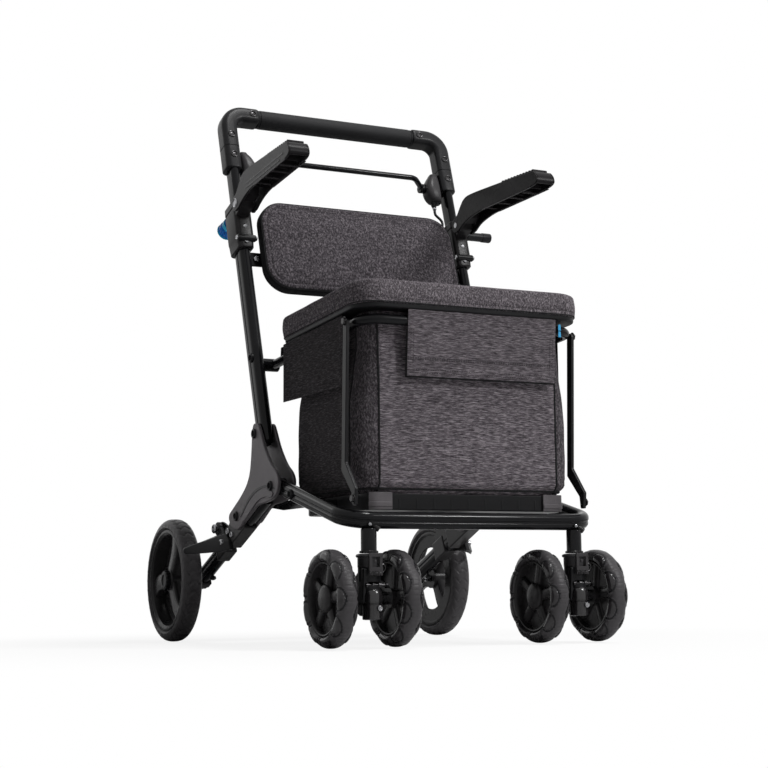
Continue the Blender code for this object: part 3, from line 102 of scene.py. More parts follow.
WHITE = (1.0, 1.0, 1.0, 1.0)


def add_node(tree, kind, sockets=(), **settings):
    """A shader node with its settings and the constant values of its sockets."""
    node = tree.nodes.new("ShaderNode" + kind)
    for key, value in settings.items():
        setattr(node, key, value)
    for socket, value in dict(sockets).items():
        node.inputs[socket].default_value = value
    return node


def wire(tree, *joins):
    """Links, each given as a node, its output, the next node and its input."""
    for source, out, target, into in joins:
        tree.links.new(source.outputs[out], target.inputs[into])


world = bpy.data.worlds.new("studio")
bpy.context.scene.world = world
world.use_nodes = True
tree = world.node_tree
fill = tree.nodes["Background"]
fill.inputs["Color"].default_value = WHITE
fill.inputs["Strength"].default_value = 0.06
white = add_node(tree, "Background", {"Color": WHITE, "Strength": 1.0})
ray = add_node(tree, "LightPath")
seen = add_node(tree, "Math", operation="MAXIMUM")
mirrored = add_node(tree, "Math", operation="MAXIMUM")
choice = add_node(tree, "MixShader")
wire(tree, (ray, "Is Camera Ray", seen, 0), (ray, "Is Transmission Ray", seen, 1), (seen, 0, mirrored, 0),
     (ray, "Is Glossy Ray", mirrored, 1), (mirrored, 0, choice, 0), (fill, 0, choice, 1),
     (white, 0, choice, 2), (choice, 0, tree.nodes["World Output"], "Surface"))

floor_paint = bpy.data.materials.new("studio_floor")
floor_paint.use_nodes = True
tree = floor_paint.node_tree
pale = tree.nodes["Principled BSDF"]
pale.inputs["Base Color"].default_value = (0.93, 0.93, 0.93, 1.0)
pale.inputs["Roughness"].default_value = 0.9
paper = add_node(tree, "Emission", {"Color": WHITE, "Strength": 1.0})
ray = add_node(tree, "LightPath")
place = add_node(tree, "TexCoord")
far = add_node(tree, "VectorMath", operation="LENGTH")
fade = add_node(tree, "MapRange", {"From Min": 0.35, "From Max": 1.10, "To Min": 0.86, "To Max": 1.0},
                interpolation_type="SMOOTHSTEP")
seen = add_node(tree, "Math", operation="MULTIPLY")
blend = add_node(tree, "MixShader")
wire(tree, (place, "Object", far, 0), (far, "Value", fade, "Value"), (fade, "Result", seen, 0),
     (ray, "Is Camera Ray", seen, 1), (seen, 0, blend, 0), (pale, 0, blend, 1), (paper, 0, blend, 2),
     (blend, 0, tree.nodes["Material Output"], "Surface"))
FLOOR_REACH = 40.0
floor_mesh = bpy.data.meshes.new("floor")
corners = [(x * FLOOR_REACH, y * FLOOR_REACH, 0) for x, y in ((-1, -1), (1, -1), (1, 1), (-1, 1))]
floor_mesh.from_pydata(corners, [], [(0, 1, 2, 3)])
floor_mesh.materials.append(floor_paint)
floor = bpy.data.objects.new("floor", floor_mesh)
bpy.context.collection.objects.link(floor)

# Uprights
# Two oval aluminium tubes lean back from the gussets to the height clamps. They are extruded
# with a shallow groove down each flat side, and powder-coated satin black.
TILT = math.radians(17.1)
FRAME_X = 0.216
SIDES = (("left", -1), ("right", 1))
FOOT = Vector((0.0, -0.025, 0.330))
TUBE = (0.020, 0.038)
TUBE_TOP = 0.440
GROOVE = (0.005, 0.0009)
GROOVE_FORM = ((0.5, 0.0), (0.38, 0.7), (0.25, 1.0), (-0.25, 1.0), (-0.38, 0.7), (-0.5, 0.0))
RIVET_PLACE = (0.014, 0.478)
UP = Vector((0.0, math.sin(TILT), math.cos(TILT)))
BACK = Vector((0.0, math.cos(TILT), -math.sin(TILT)))


def coat(name, colour, roughness, metallic, grain_mm, relief, uneven, gloss_drift=0.08, gleam=0.12):
    """A painted or moulded finish: fine relief, and slow changes of shade and of gloss."""
    material = bpy.data.materials.new(name)
    material.use_nodes = True
    tree = material.node_tree
    shader = tree.nodes["Principled BSDF"]
    shader.inputs["Metallic"].default_value = metallic
    shader.inputs["Specular IOR Level"].default_value = gleam
    place = add_node(tree, "TexCoord")
    drift = add_node(tree, "TexNoise", {"Scale": 22.0, "Detail": 4.0})
    dark, pale = [(*[min(1.0, c * (1 + way * uneven)) for c in colour], 1.0) for way in (-1, 1)]
    shade = add_node(tree, "Mix", {6: dark, 7: pale}, data_type="RGBA")
    gloss = add_node(tree, "MapRange", {"To Min": max(0.05, roughness - gloss_drift),
                                        "To Max": min(1.0, roughness + gloss_drift)})
    grain = add_node(tree, "TexNoise", {"Scale": 1000.0 / grain_mm, "Detail": 3.0})
    bump = add_node(tree, "Bump", {"Strength": relief, "Distance": 0.0004})
    wire(tree, (place, "Object", drift, "Vector"), (place, "Object", grain, "Vector"),
         (drift, "Fac", shade, 0), (shade, 2, shader, "Base Color"), (drift, "Fac", gloss, "Value"),
         (gloss, "Result", shader, "Roughness"), (grain, "Fac", bump, "Height"),
         (bump, "Normal", shader, "Normal"))
    return material


satin_black = coat("satin_black", (0.007, 0.007, 0.008), 0.16, 0.0, 1.6, 0.10, 0.25, 0.04)
dark_cap = coat("dark_cap", (0.007, 0.007, 0.008), 0.42, 0.0, 0.8, 0.25, 0.2)


def on_upright(side, s, forward=0.0, outward=0.0):
    """A point some way up an upright, and ahead of or outside its axis."""
    return Vector((side * (FRAME_X + outward), FOOT.y, FOOT.z)) + UP * s - BACK * forward


def oval(width, depth, groove=()):
    """Section of a tube with flat sides and round edges, grooved along both flats."""
    radius = width / 2
    flat = depth / 2 - radius
    section = []
    for end in (1, -1):
        for i in range(13):
            angle = math.pi * i / 12
            section.append((end * radius * math.cos(angle), end * (flat + radius * math.sin(angle))))
        if groove:
            wide, deep = groove
            face = -end * radius
            for share, sink in GROOVE_FORM:
                section.append((face + end * deep * sink, end * wide * share))
    return section


def bridge(bm, rings, caps=True):
    """Faces between rings of equal count, closed at both ends."""
    rows = [[bm.verts.new(point) for point in ring] for ring in rings]
    for low, high in zip(rows, rows[1:]):
        for i in range(len(low)):
            j = (i + 1) % len(low)
            bm.faces.new((low[i], low[j], high[j], high[i]))
    if caps:
        bm.faces.new(rows[0])
        bm.faces.new(rows[-1])


def follow(path, section, normal):
    """Rings of a section square to a path that lies in one plane."""
    normal = Vector(normal).normalized()
    rings = []
    for i, point in enumerate(path):
        ahead = (path[min(i + 1, len(path) - 1)] - path[max(i - 1, 0)]).normalized()
        side_way = ahead.cross(normal).normalized()
        rings.append([point + side_way * u + normal * v for u, v in section])
    return rings


def fit(name, bm, material, body, slot, stands_for="", edge=0.0, crease=35.0, segments=2):
    """Make a piece of the mesh, round its edges, and put it on its body."""
    bmesh.ops.remove_doubles(bm, verts=bm.verts, dist=1e-6)
    bmesh.ops.recalc_face_normals(bm, faces=bm.faces)
    mesh = bpy.data.meshes.new(name)
    bm.to_mesh(mesh)
    bm.free()
    mesh.materials.append(material)
    mesh.shade_smooth()
    mesh.set_sharp_from_angle(angle=math.radians(crease))
    piece = bpy.data.objects.new(name, mesh)
    bpy.context.collection.objects.link(piece)
    if edge:
        rounding = piece.modifiers.new("rounded_edges", "BEVEL")
        rounding.width = edge
        rounding.segments = segments
        rounding.limit_method = "ANGLE"
        rounding.angle_limit = math.radians(crease)
        rounding.harden_normals = True
    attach(piece, body)
    if stands_for:
        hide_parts(stands_for)
    return piece


def turn_about(bm, profile, centre, axis, steps):
    """Spin an open profile of (along, radius) pairs about an axis, closed where the radius is nil."""
    axis = Vector(axis).normalized()
    across = axis.orthogonal().normalized()
    other = axis.cross(across)
    turns = [2 * math.pi * i / steps for i in range(steps)]
    bridge(bm, [[Vector(centre) + axis * along + (across * math.cos(turn) + other * math.sin(turn)) * radius
                 for turn in turns] for along, radius in profile])


def turned(name, profile, centre, axis, steps, material, body, slot, **finish):
    """A piece that is one turned part."""
    shape = bmesh.new()
    turn_about(shape, profile, centre, axis, steps)
    return fit(name, shape, material, body, slot, **finish)


def skinned(name, rings, material, body, slot, *stands_for, **finish):
    """A piece that is one skin over rings."""
    shape = bmesh.new()
    bridge(shape, rings)
    return fit(name, shape, material, body, slot, *stands_for, **finish)


RIVET_HEAD = ((-0.002, 0.0080), (0.0012, 0.0084), (0.0030, 0.0075), (0.0035, 0.0062),
              (0.0030, 0.0050), (0.0008, 0.0044), (0.0003, 0.0006))

for side_name, side in SIDES:
    rings = [[on_upright(side, s) + Vector((u * side, 0, 0)) + BACK * v for u, v in oval(*TUBE, GROOVE)]
             for s in (0.0, TUBE_TOP - 0.001)]
    skinned("upright_" + side_name, rings, satin_black, "frame", "painted_frame",
            "upright_tube_" + side_name, edge=0.0006)
    turned("upright_rivet_" + side_name, RIVET_HEAD, (side * (FRAME_X + TUBE[0] / 2), *RIVET_PLACE),
           (side, 0, 0), 20, dark_cap, "frame", "painted_frame")

# Gussets
# Cast aluminium cheeks clasp the foot of the upright, the rear leg and the lower frame's hinge.
# They have rounded edges, dark rivets, and a grey hammered paint that shows fine mottling.
PLATE = 0.006
PLATE_FIT = 0.0003
CHEEK = [(-0.004, 0.364), (0.001, 0.312), (0.008, 0.281), (0.024, 0.262), (0.051, 0.245),
         (0.083, 0.229), (0.107, 0.217), (0.098, 0.198), (0.066, 0.189), (0.046, 0.197),
         (0.006, 0.215), (-0.026, 0.229), (-0.060, 0.230), (-0.092, 0.234), (-0.110, 0.244),
         (-0.116, 0.262), (-0.107, 0.277), (-0.082, 0.292), (-0.054, 0.322), (-0.034, 0.356),
         (-0.026, 0.364)]
CHEEK_RIVETS = ((-0.014, 0.347), (0.068, 0.214), (-0.083, 0.256))
FLANK = ((-0.030, 0.235), (-0.060, 0.240), (-0.090, 0.236), (-0.098, 0.246), (-0.060, 0.252),
         (-0.020, 0.246), (0.012, 0.231), (0.044, 0.207), (0.040, 0.199), (0.006, 0.217))
FLANK_PROUD = 0.0016
# A thin black plate beside each raised flank is painted shade, standing for the dark gap along the flank.
FLANK_GAP_SHADE = ((-0.018, 0.250), (0.014, 0.235), (0.048, 0.210), (0.050, 0.213), (0.017, 0.239),
             (-0.016, 0.254), (-0.062, 0.260), (-0.100, 0.253), (-0.099, 0.249), (-0.061, 0.256))
GAP_SHADE_PROUD = 0.0006
hammered_grey = coat("hammered_grey", (0.105, 0.097, 0.103), 0.44, 0.35, 1.7, 1.0, 0.45)
rivet_black = coat("rivet_black", (0.010, 0.010, 0.011), 0.38, 0.3, 0.6, 0.2, 0.2)


def eased(corners, share=0.22):
    """A closed outline whose corners are cut off twice, at a share of each side."""
    points = [Vector(corner) for corner in corners]
    for _ in range(2):
        points = [p.lerp(q, t) for p, q in zip(points, points[1:] + points[:1]) for t in (share, 1 - share)]
    return points


def sheet_of(bm, outline, start, end):
    """A flat plate between two X planes."""
    bridge(bm, [[(x, y, z) for y, z in outline] for x in (start, end)])


def plated(name, outline, start, end, material, body, slot, *stands_for, **finish):
    """A piece that is one flat plate."""
    shape = bmesh.new()
    sheet_of(shape, outline, start, end)
    return fit(name, shape, material, body, slot, *stands_for, **finish)


for side_name, side in SIDES:
    for place, way in (("outer", 1), ("inner", -1)):
        here = f"{place}_{side_name}"
        near = FRAME_X + way * (TUBE[0] / 2 + PLATE_FIT)
        face = side * (near + way * PLATE)
        plated("cheek_" + here, eased(CHEEK), side * near, face, hammered_grey, "frame", "hammered_grey",
               "gusset_" + here, edge=0.0016, segments=3)
        plated("cheek_flank_" + here, eased(FLANK), face, face + side * way * FLANK_PROUD, hammered_grey,
               "frame", "hammered_grey", edge=0.0007)
        # Painted shade: a black plate where the gap beside the flank falls dark.
        plated("cheek_gap_shade_" + here, eased(FLANK_GAP_SHADE), face, face + side * way * GAP_SHADE_PROUD, rivet_black,
               "frame", "painted_frame")
        for number, (y, z) in enumerate(CHEEK_RIVETS):
            turned(f"cheek_rivet_{here}_{number}", RIVET_HEAD, (face, y, z), (side * way, 0, 0), 22,
                   rivet_black, "frame", "painted_frame")

# Rear legs
# An oval tube runs back and down from each gusset. Folded steel saddles sleeve it at three places,
# ears on top take the brake's bolt, and a cast end carries the wheel's axle.
LEG = (0.020, 0.030)
LEG_TOP = Vector((0.0, -0.030, 0.243))
REAR_Y = 0.286
REAR_RADIUS = 0.109
REAR_X = 0.267
REAR_WIDTH = 0.036
SHOE_BOLT = Vector((0.0, 0.156, 0.196))
steel = coat("bright_steel", (0.26, 0.26, 0.27), 0.22, 1.0, 0.9, 0.08, 0.1)
leg_end = Vector((0.0, REAR_Y, REAR_RADIUS))
leg_way = (leg_end - LEG_TOP).normalized()
leg_rise = Vector((1, 0, 0)).cross(leg_way)
SADDLES = ((0.086, 0.168, 1.0), (0.184, 0.226, 0.94), (0.322, 0.340, 0.98))
SADDLE_SIDE = LEG[0] / 2 + 0.0024
SADDLE = [(SADDLE_SIDE, -0.0175), (SADDLE_SIDE, 0.019), (-SADDLE_SIDE, 0.019), (-SADDLE_SIDE, -0.0175)]
saddle_paint = coat("saddle_paint", (0.030, 0.029, 0.030), 0.36, 0.2, 1.2, 0.3, 0.2)
BRAKE_EAR = [(0.110, 0.172), (0.114, 0.196), (SHOE_BOLT.y - 0.011, 0.208), (SHOE_BOLT.y + 0.004, 0.2085),
             (SHOE_BOLT.y + 0.014, 0.199), (SHOE_BOLT.y + 0.020, 0.165)]
EAR_THICK = 0.0028
SADDLE_SCREWS = ((0.1140, 0.1900, 0.0058), (0.0960, 0.1840, 0.0050))
LEG_KNOB_PLACE = (0.226, 0.1195)
AXLE_BOSS = ((0.0, 0.0145), (0.002, 0.0160), (0.020, 0.0160), (0.028, 0.0125), (0.0305, 0.0120))
LEG_KNOB = ((-0.010, 0.0026), (0.0060, 0.0026), (0.0064, 0.0052), (0.0100, 0.0056), (0.0112, 0.0040),
            (0.0112, 0.0004))
BRAKE_BOLT = ((-0.025, 0.0038), (0.002, 0.0038), (0.002, 0.0078), (0.0050, 0.0082), (0.0066, 0.0070),
              (0.0066, 0.0036), (0.0046, 0.0030), (0.0046, 0.0004))
REAR_AXLE = ((0.0, 0.006), (0.0645, 0.006), (0.066, 0.005), (0.066, 0.0004))

for side_name, side in SIDES:
    top = LEG_TOP + Vector((side * FRAME_X, 0, 0))
    foot = leg_end + Vector((side * FRAME_X, 0, 0))
    shape = bmesh.new()
    bridge(shape, follow([top, foot + leg_way * 0.010], oval(*LEG, GROOVE), leg_rise))
    turn_about(shape, AXLE_BOSS, (side * (FRAME_X - 0.0105), REAR_Y, REAR_RADIUS), (side, 0, 0), 36)
    fit("rear_leg_tube_" + side_name, shape, satin_black, "frame", "painted_frame", "rear_leg_" + side_name,
        edge=0.0006)
    for number, (start, end, grow) in enumerate(SADDLES):
        rings = follow([top + leg_way * start, top + leg_way * end],
                       [(u * grow, v * grow) for u, v in SADDLE], leg_rise)
        skinned(f"leg_saddle_{side_name}_{number}", rings, saddle_paint, "frame", "painted_frame",
                edge=0.0024, segments=3)
    turned("leg_knob_" + side_name, LEG_KNOB, (side * FRAME_X, *LEG_KNOB_PLACE), (0.0, -0.39, -0.92), 16,
           dark_cap, "frame", "painted_frame")
    shape = bmesh.new()
    for y, z, size in SADDLE_SCREWS:
        turn_about(shape, ((-0.004, size), (0.0016, size), (0.0028, size * 0.8), (0.0026, size * 0.4),
                           (0.0012, size * 0.34), (0.0012, 0.0004)),
                   (side * (FRAME_X + 0.0134), y, z), (side, 0, 0), 20)
    fit("saddle_screws_" + side_name, shape, steel, "frame", "painted_frame")
    shape = bmesh.new()
    for inner in (FRAME_X - 0.0100, FRAME_X + 0.0072):
        sheet_of(shape, eased(BRAKE_EAR), side * inner, side * (inner + EAR_THICK))
    fit("brake_ears_" + side_name, shape, satin_black, "frame", "painted_frame", edge=0.0006)
    turned("brake_bolt_" + side_name, BRAKE_BOLT, (side * (FRAME_X + 0.0188), SHOE_BOLT.y, SHOE_BOLT.z),
           (side, 0, 0), 24, steel, "frame", "painted_frame")
    turned("rear_axle_" + side_name, REAR_AXLE, foot, (side, 0, 0), 20, steel, "frame", "painted_frame")

# Rear wheels
# Moulded wheels of three broad, dished spokes in a deep rim, under a foam rubber tyre whose
# tread is cut in zigzags. A ribbed cap nut closes the hub on the outside.
rubber = coat("tyre_rubber", (0.058, 0.055, 0.058), 0.34, 0.0, 0.7, 0.35, 0.18)
wheel_plastic = coat("wheel_plastic", (0.023, 0.022, 0.023), 0.26, 0.0, 0.6, 0.18, 0.18)
RIM_OUT = 0.090
ZIGZAGS = 36
TREAD_DEPTH = 0.0019
TYRE_STEPS = 432
REAR_RIM = ((-0.0148, 0.0902), (-0.0156, 0.0890), (-0.0156, 0.0850), (-0.0140, 0.0836), (-0.0122, 0.0818),
            (-0.0122, 0.0600), (-0.0104, 0.0590), (-0.0092, 0.0600), (-0.0088, 0.0775), (0.0040, 0.0795),
            (0.0120, 0.0812), (0.0140, 0.0836), (0.0156, 0.0850), (0.0156, 0.0890), (0.0148, 0.0902))
REAR_SPOKE_TURN = math.radians(108)
REAR_HUB = ((-0.0125, 0.0190), (-0.0125, 0.0070), (0.0105, 0.0070), (0.0115, 0.0180), (0.0095, 0.0200))
HUB_RIBS = 14
HUB_RIB = ((0.0040, 0.0021), (0.0180, 0.0021), (0.0192, 0.0012))
HUB_NUT = ((0.0040, 0.0160), (0.0184, 0.0160), (0.0200, 0.0140), (0.0202, 0.0100), (0.0186, 0.0090),
           (0.0184, 0.0004))


def smooth(low, high, value):
    """Zero below low, one above high, with soft ends."""
    share = min(1.0, max(0.0, (value - low) / (high - low)))
    return share * share * (3 - 2 * share)


def carve_rear(angle, x, r, half):
    """How the rear tyre is moved at a place: zigzag grooves in the tread and a lip at the bead."""
    across = x / half
    zigzag = abs(2 * ((across * 1.1) % 1.0) - 1)
    away = abs(((angle * ZIGZAGS / (2 * math.pi) + 0.55 * zigzag) % 1.0) - 0.5)
    cut = 0.0 if abs(across) < 0.16 else TREAD_DEPTH * max(0.0, 1.0 - away / 0.17)
    cut *= smooth(RIM_OUT + 0.0050, RIM_OUT + 0.0080, r)
    lip = 0.0013 * math.sin(math.pi * min(1.0, max(0.0, (r - RIM_OUT) / 0.0050)))
    return math.copysign(lip - cut * 0.5, x), -cut


def on_wheel(centre, side, x, r, angle):
    """A point of a wheel, at a place across it, a radius and an angle."""
    return (centre[0] + side * x, centre[1] + r * math.cos(angle), centre[2] + r * math.sin(angle))


def close_round(bm, rows):
    """Faces between rows of points, closed along the rows and from the last row to the first."""
    grid = [[bm.verts.new(point) for point in row] for row in rows]
    for here, there in zip(grid, grid[1:] + grid[:1]):
        for k in range(len(here)):
            m = (k + 1) % len(here)
            bm.faces.new((here[k], here[m], there[m], there[k]))


def wheel_tyre(bm, centre, side, radius, width, seat, carve, steps):
    """A tyre with round shoulders, whose tread is carved by a rule."""
    half = width / 2
    outline = []
    for k in range(35):
        turn = math.pi * k / 34
        x = -half * math.copysign(abs(math.cos(turn)) ** 0.75, math.cos(turn))
        outline.append((x, radius - (radius - seat) * (1 - abs(math.sin(turn)) ** 0.62)))
    outline[0] = (-half * 0.80, seat + 0.0004)
    outline[-1] = (half * 0.80, seat + 0.0004)
    rows = []
    for i in range(steps):
        angle = 2 * math.pi * i / steps
        moves = [(x, r, *carve(angle, x, r, half)) for x, r in outline]
        rows.append([on_wheel(centre, side, x + dx, r + dr, angle) for x, r, dx, dr in moves])
    close_round(bm, rows)


def spun(bm, outline, centre, side, steps):
    """Spin a closed outline of (x, radius) pairs about a wheel's axis."""
    close_round(bm, [[on_wheel(centre, side, x, r, 2 * math.pi * i / steps) for x, r in outline]
                     for i in range(steps)])


def spoke(bm, centre, side, angle, inner, outer, root, tip, thick, dish, curve, blunt):
    """One spoke with an oval section, from the hub to the rim."""
    rings = []
    for i in range(9):
        share = i / 8
        reach = inner + (outer - inner) * share
        bearing = angle + curve * math.sin(math.pi * share)
        out = Vector((0.0, math.cos(bearing), math.sin(bearing)))
        across = Vector((0.0, -math.sin(bearing), math.cos(bearing)))
        wide = root + (tip - root) * share ** 1.5
        middle = Vector(centre) + out * reach + Vector((side * dish * (1 - share), 0, 0))
        ring = []
        for k in range(16):
            turn = 2 * math.pi * k / 16
            flat = math.copysign(abs(math.cos(turn)) ** blunt, math.cos(turn))
            bulge = math.copysign(abs(math.sin(turn)) ** (blunt * 1.3), math.sin(turn))
            ring.append(middle + across * (wide * flat) + Vector((side * thick * bulge, 0, 0)))
        rings.append(ring)
    bridge(bm, rings)


for side_name, side in SIDES:
    centre = Vector((side * REAR_X, REAR_Y, REAR_RADIUS))
    body = "rear_wheel_" + side_name
    shape = bmesh.new()
    wheel_tyre(shape, centre, side, REAR_RADIUS - 0.0001, REAR_WIDTH - 0.0006, RIM_OUT, carve_rear,
               TYRE_STEPS)
    fit("tyre_rear_" + side_name, shape, rubber, body, "tyre_rubber", "rear_tyre_" + side_name, crease=50)
    shape = bmesh.new()
    spun(shape, REAR_RIM, centre, side, 108)
    spun(shape, REAR_HUB, centre, side, 48)
    for number in range(3):
        spoke(shape, centre, side, REAR_SPOKE_TURN + 2 * math.pi * number / 3, inner=0.012, outer=0.0815,
              root=0.0135, tip=0.0165, thick=0.0092, dish=0.0010, curve=0.16, blunt=0.28)
    fit("rim_rear_" + side_name, shape, wheel_plastic, body, "dark_plastic", "rear_rim_" + side_name)
    shape = bmesh.new()
    for number in range(HUB_RIBS):
        turn = 2 * math.pi * number / HUB_RIBS
        place = Vector((0.0, math.cos(turn), math.sin(turn))) * 0.0158 + centre
        turn_about(shape, HUB_RIB, place, (side, 0, 0), 8)
    turn_about(shape, HUB_NUT, centre, (side, 0, 0), 42)
    fit("hub_nut_" + side_name, shape, dark_cap, body, "dark_plastic", crease=30)

# Brake shoes
# Each wheel brake is a moulded arm on the leg's bolt, drawn out to a tapered blade that reaches
# over the tread. The cable pulls the blade against the tyre.
SHOE_INNER = FRAME_X + 0.0103
SHOE_OUTER = SHOE_INNER + 0.008
shoe_plastic = coat("shoe_plastic", (0.012, 0.012, 0.013), 0.34, 0.0, 0.7, 0.2, 0.2)

BLADE = (
    (SHOE_INNER, ((0.119, 0.187), (0.140, 0.188), (0.138, 0.158), (0.092, 0.158), (0.100, 0.173))),
    (SHOE_OUTER, ((0.121, 0.186), (0.141, 0.187), (0.137, 0.158), (0.093, 0.158), (0.101, 0.173))),
    (0.245, ((0.127, 0.182), (0.144, 0.182), (0.135, 0.158), (0.103, 0.155), (0.110, 0.170))),
    (0.260, ((0.146, 0.175), (0.163, 0.174), (0.158, 0.157), (0.136, 0.153), (0.138, 0.165))),
    (0.275, ((0.165, 0.169), (0.180, 0.168), (0.174, 0.156), (0.159, 0.152), (0.160, 0.161))),
    (0.284, ((0.178, 0.164), (0.187, 0.164), (0.183, 0.154), (0.177, 0.152), (0.176, 0.158))),
    (0.287, ((0.179, 0.161), (0.184, 0.161), (0.182, 0.156), (0.179, 0.155), (0.178, 0.158))))
NECK = ((0.116, 0.180), (0.140, 0.166), (0.166, 0.186), (0.152, 0.205))
SHOE_BOSS = ((0.0, 0.0118), (0.0079, 0.0118))
SHOE_SCREW_PLACE = (0.1120, 0.1710)
SHOE_SCREW = ((-0.002, 0.0052), (0.0020, 0.0056), (0.0034, 0.0046), (0.0034, 0.0026), (0.0022, 0.0020),
              (0.0022, 0.0004))

for side_name, side in SIDES:
    body = "brake_shoe_" + side_name
    shape = bmesh.new()
    bridge(shape, [[(side * x, y, z) for y, z in corners] for x, corners in BLADE])
    sheet_of(shape, eased(NECK), side * SHOE_INNER, side * (SHOE_OUTER - 0.0012))
    turn_about(shape, SHOE_BOSS, (side * SHOE_INNER, SHOE_BOLT.y, SHOE_BOLT.z), (side, 0, 0), 32)
    fit("wheel_brake_" + side_name, shape, shoe_plastic, body, "dark_plastic", body,
        edge=0.0018, crease=28, segments=3)
    turned("shoe_bolt_" + side_name, SHOE_SCREW, (side * (SHOE_OUTER + 0.0080), *SHOE_SCREW_PLACE),
           (side, 0, 0), 20, steel, body, "dark_plastic")

# Lower frame
# One oval tube, bent to a U, hinges between the gussets and carries the tray and the casters.
# It has the uprights' groove and paint, and a small pin on each side for the fold catch.
LOWER_X = 0.216
HINGE = Vector((0.0, -0.083, 0.256))
LOWER_FRONT = Vector((0.0, -0.338, 0.190))
LOWER_TUBE = (0.019, 0.026)
LOWER_BEND = 0.040
HINGE_EYE = ((-0.0092, 0.0122), (-0.0085, 0.0130), (0.0085, 0.0130), (0.0092, 0.0122))
CATCH_PIN = ((0.0, 0.004), (0.024, 0.004), (0.025, 0.003))
CATCH_Y = -0.150


def bent(corners, radius, steps=13):
    """A path through corners that are bent to a radius."""
    path = [Vector(corners[0])]
    for before, corner, after in zip(corners, corners[1:], corners[2:]):
        before, corner, after = Vector(before), Vector(corner), Vector(after)
        back, ahead = (before - corner).normalized(), (after - corner).normalized()
        half = back.angle(ahead) / 2
        centre = corner + (back + ahead).normalized() * (radius / math.sin(half))
        start = corner + back * (radius / math.tan(half)) - centre
        end = corner + ahead * (radius / math.tan(half)) - centre
        axis = start.cross(end).normalized()
        total = start.angle(end)
        path += [centre + Matrix.Rotation(total * i / (steps - 1), 3, axis) @ start for i in range(steps)]
    path.append(Vector(corners[-1]))
    return path


slope = (HINGE.z - LOWER_FRONT.z) / (HINGE.y - LOWER_FRONT.y)
catch_z = LOWER_FRONT.z + (CATCH_Y - LOWER_FRONT.y) * slope
lower_corners = ((-LOWER_X, HINGE.y, HINGE.z), (-LOWER_X, LOWER_FRONT.y, LOWER_FRONT.z),
                 (LOWER_X, LOWER_FRONT.y, LOWER_FRONT.z), (LOWER_X, HINGE.y, HINGE.z))
shape = bmesh.new()
bridge(shape, follow(bent(lower_corners, LOWER_BEND), oval(*LOWER_TUBE, GROOVE), (0.0, -slope, 1.0)))
for side_name, side in SIDES:
    turn_about(shape, HINGE_EYE, (side * LOWER_X, HINGE.y, HINGE.z), (side, 0, 0), 32)
    turn_about(shape, CATCH_PIN, (side * LOWER_X, CATCH_Y, catch_z), (-side, 0, 0), 16)
fit("lower_tube", shape, satin_black, "lower", "painted_frame", "lower_frame", edge=0.0006)
for side_name, side in SIDES:
    turned("catch_rivet_" + side_name, RIVET_HEAD, (side * (LOWER_X + LOWER_TUBE[0] / 2), CATCH_Y, catch_z),
           (side, 0, 0), 20, rivet_black, "lower", "painted_frame")

# Fold catches
# A flat steel arm on each gusset's inner side holds the pin of the lower frame in its notch and
# keeps the walker open.
STAY_X = 0.197
STAY_THICK = 0.004
STAY = (-0.004, 0.232)
STAY_EYE = 0.008
NOTCH = 0.00445


def arc_of(centre, radius, degrees):
    """Points of a circle in the side view, at some angles."""
    return [(centre[0] + radius * math.cos(math.radians(a)), centre[1] + radius * math.sin(math.radians(a)))
            for a in degrees]


catch_arm = arc_of(STAY, STAY_EYE, range(-100, 110, 15))
catch_arm += [(-0.050, catch_z - 0.006), (CATCH_Y + 0.014, catch_z - 0.003), (CATCH_Y + NOTCH, catch_z)]
catch_arm += arc_of((CATCH_Y, catch_z), NOTCH, range(-15, -180, -15))
catch_arm += [(CATCH_Y - NOTCH, catch_z), (CATCH_Y - 0.012, catch_z - 0.002),
              (CATCH_Y - 0.018, catch_z - 0.012), (CATCH_Y - 0.012, catch_z - 0.020),
              (-0.050, catch_z - 0.020)]
for side_name, side in SIDES:
    plated("fold_catch_arm_" + side_name, catch_arm, side * STAY_X, side * (STAY_X - STAY_THICK), satin_black,
           "fold_catch_" + side_name, "painted_frame", "fold_hook_" + side_name, edge=0.0007)

# Caster stems
# A round tube drops from the front bar to each pair of front wheels, with a moulded collar at
# its foot, and a small screw and a stop in the joint with the bar.
CASTER_X = 0.1805
STEM_Y = LOWER_FRONT.y
STEM_TUBE = ((0.1410, 0.0119), (0.1765, 0.0119), (0.1775, 0.0114))
STEM_COLLAR = ((0.1412, 0.0136), (0.1416, 0.0142), (0.1440, 0.0142), (0.1446, 0.0136), (0.1446, 0.0119))
STEM_SCREW = ((0.0, 0.0028), (0.0050, 0.0028), (0.0062, 0.0018), (0.0064, 0.0004))
STEM_STOP = ((-0.004, 0.0044), (0.0060, 0.0044), (0.0066, 0.0036), (0.0062, 0.0026), (0.0062, 0.0004))
stem_black = coat("stem_black", (0.008, 0.008, 0.009), 0.13, 0.0, 1.6, 0.08, 0.2)

for side_name, side in SIDES:
    x = side * CASTER_X
    turned("stem_tube_" + side_name, STEM_TUBE, (x, STEM_Y, 0.0), (0, 0, 1), 36, stem_black, "lower",
           "painted_frame", stands_for="caster_stem_" + side_name)
    turned("stem_collar_" + side_name, STEM_COLLAR, (x, STEM_Y, 0.0), (0, 0, 1), 36, wheel_plastic, "lower",
           "dark_plastic")
    turned("stem_screw_" + side_name, STEM_SCREW, (x - 0.0035, STEM_Y - 0.0085, 0.1835), (0, -1, 0), 14,
           steel, "lower", "painted_frame")
    turned("stem_stop_" + side_name, STEM_STOP, (x + 0.0098, STEM_Y - 0.0040, 0.1795), (0.74, -0.35, -0.57),
           18, wheel_plastic, "lower", "dark_plastic")

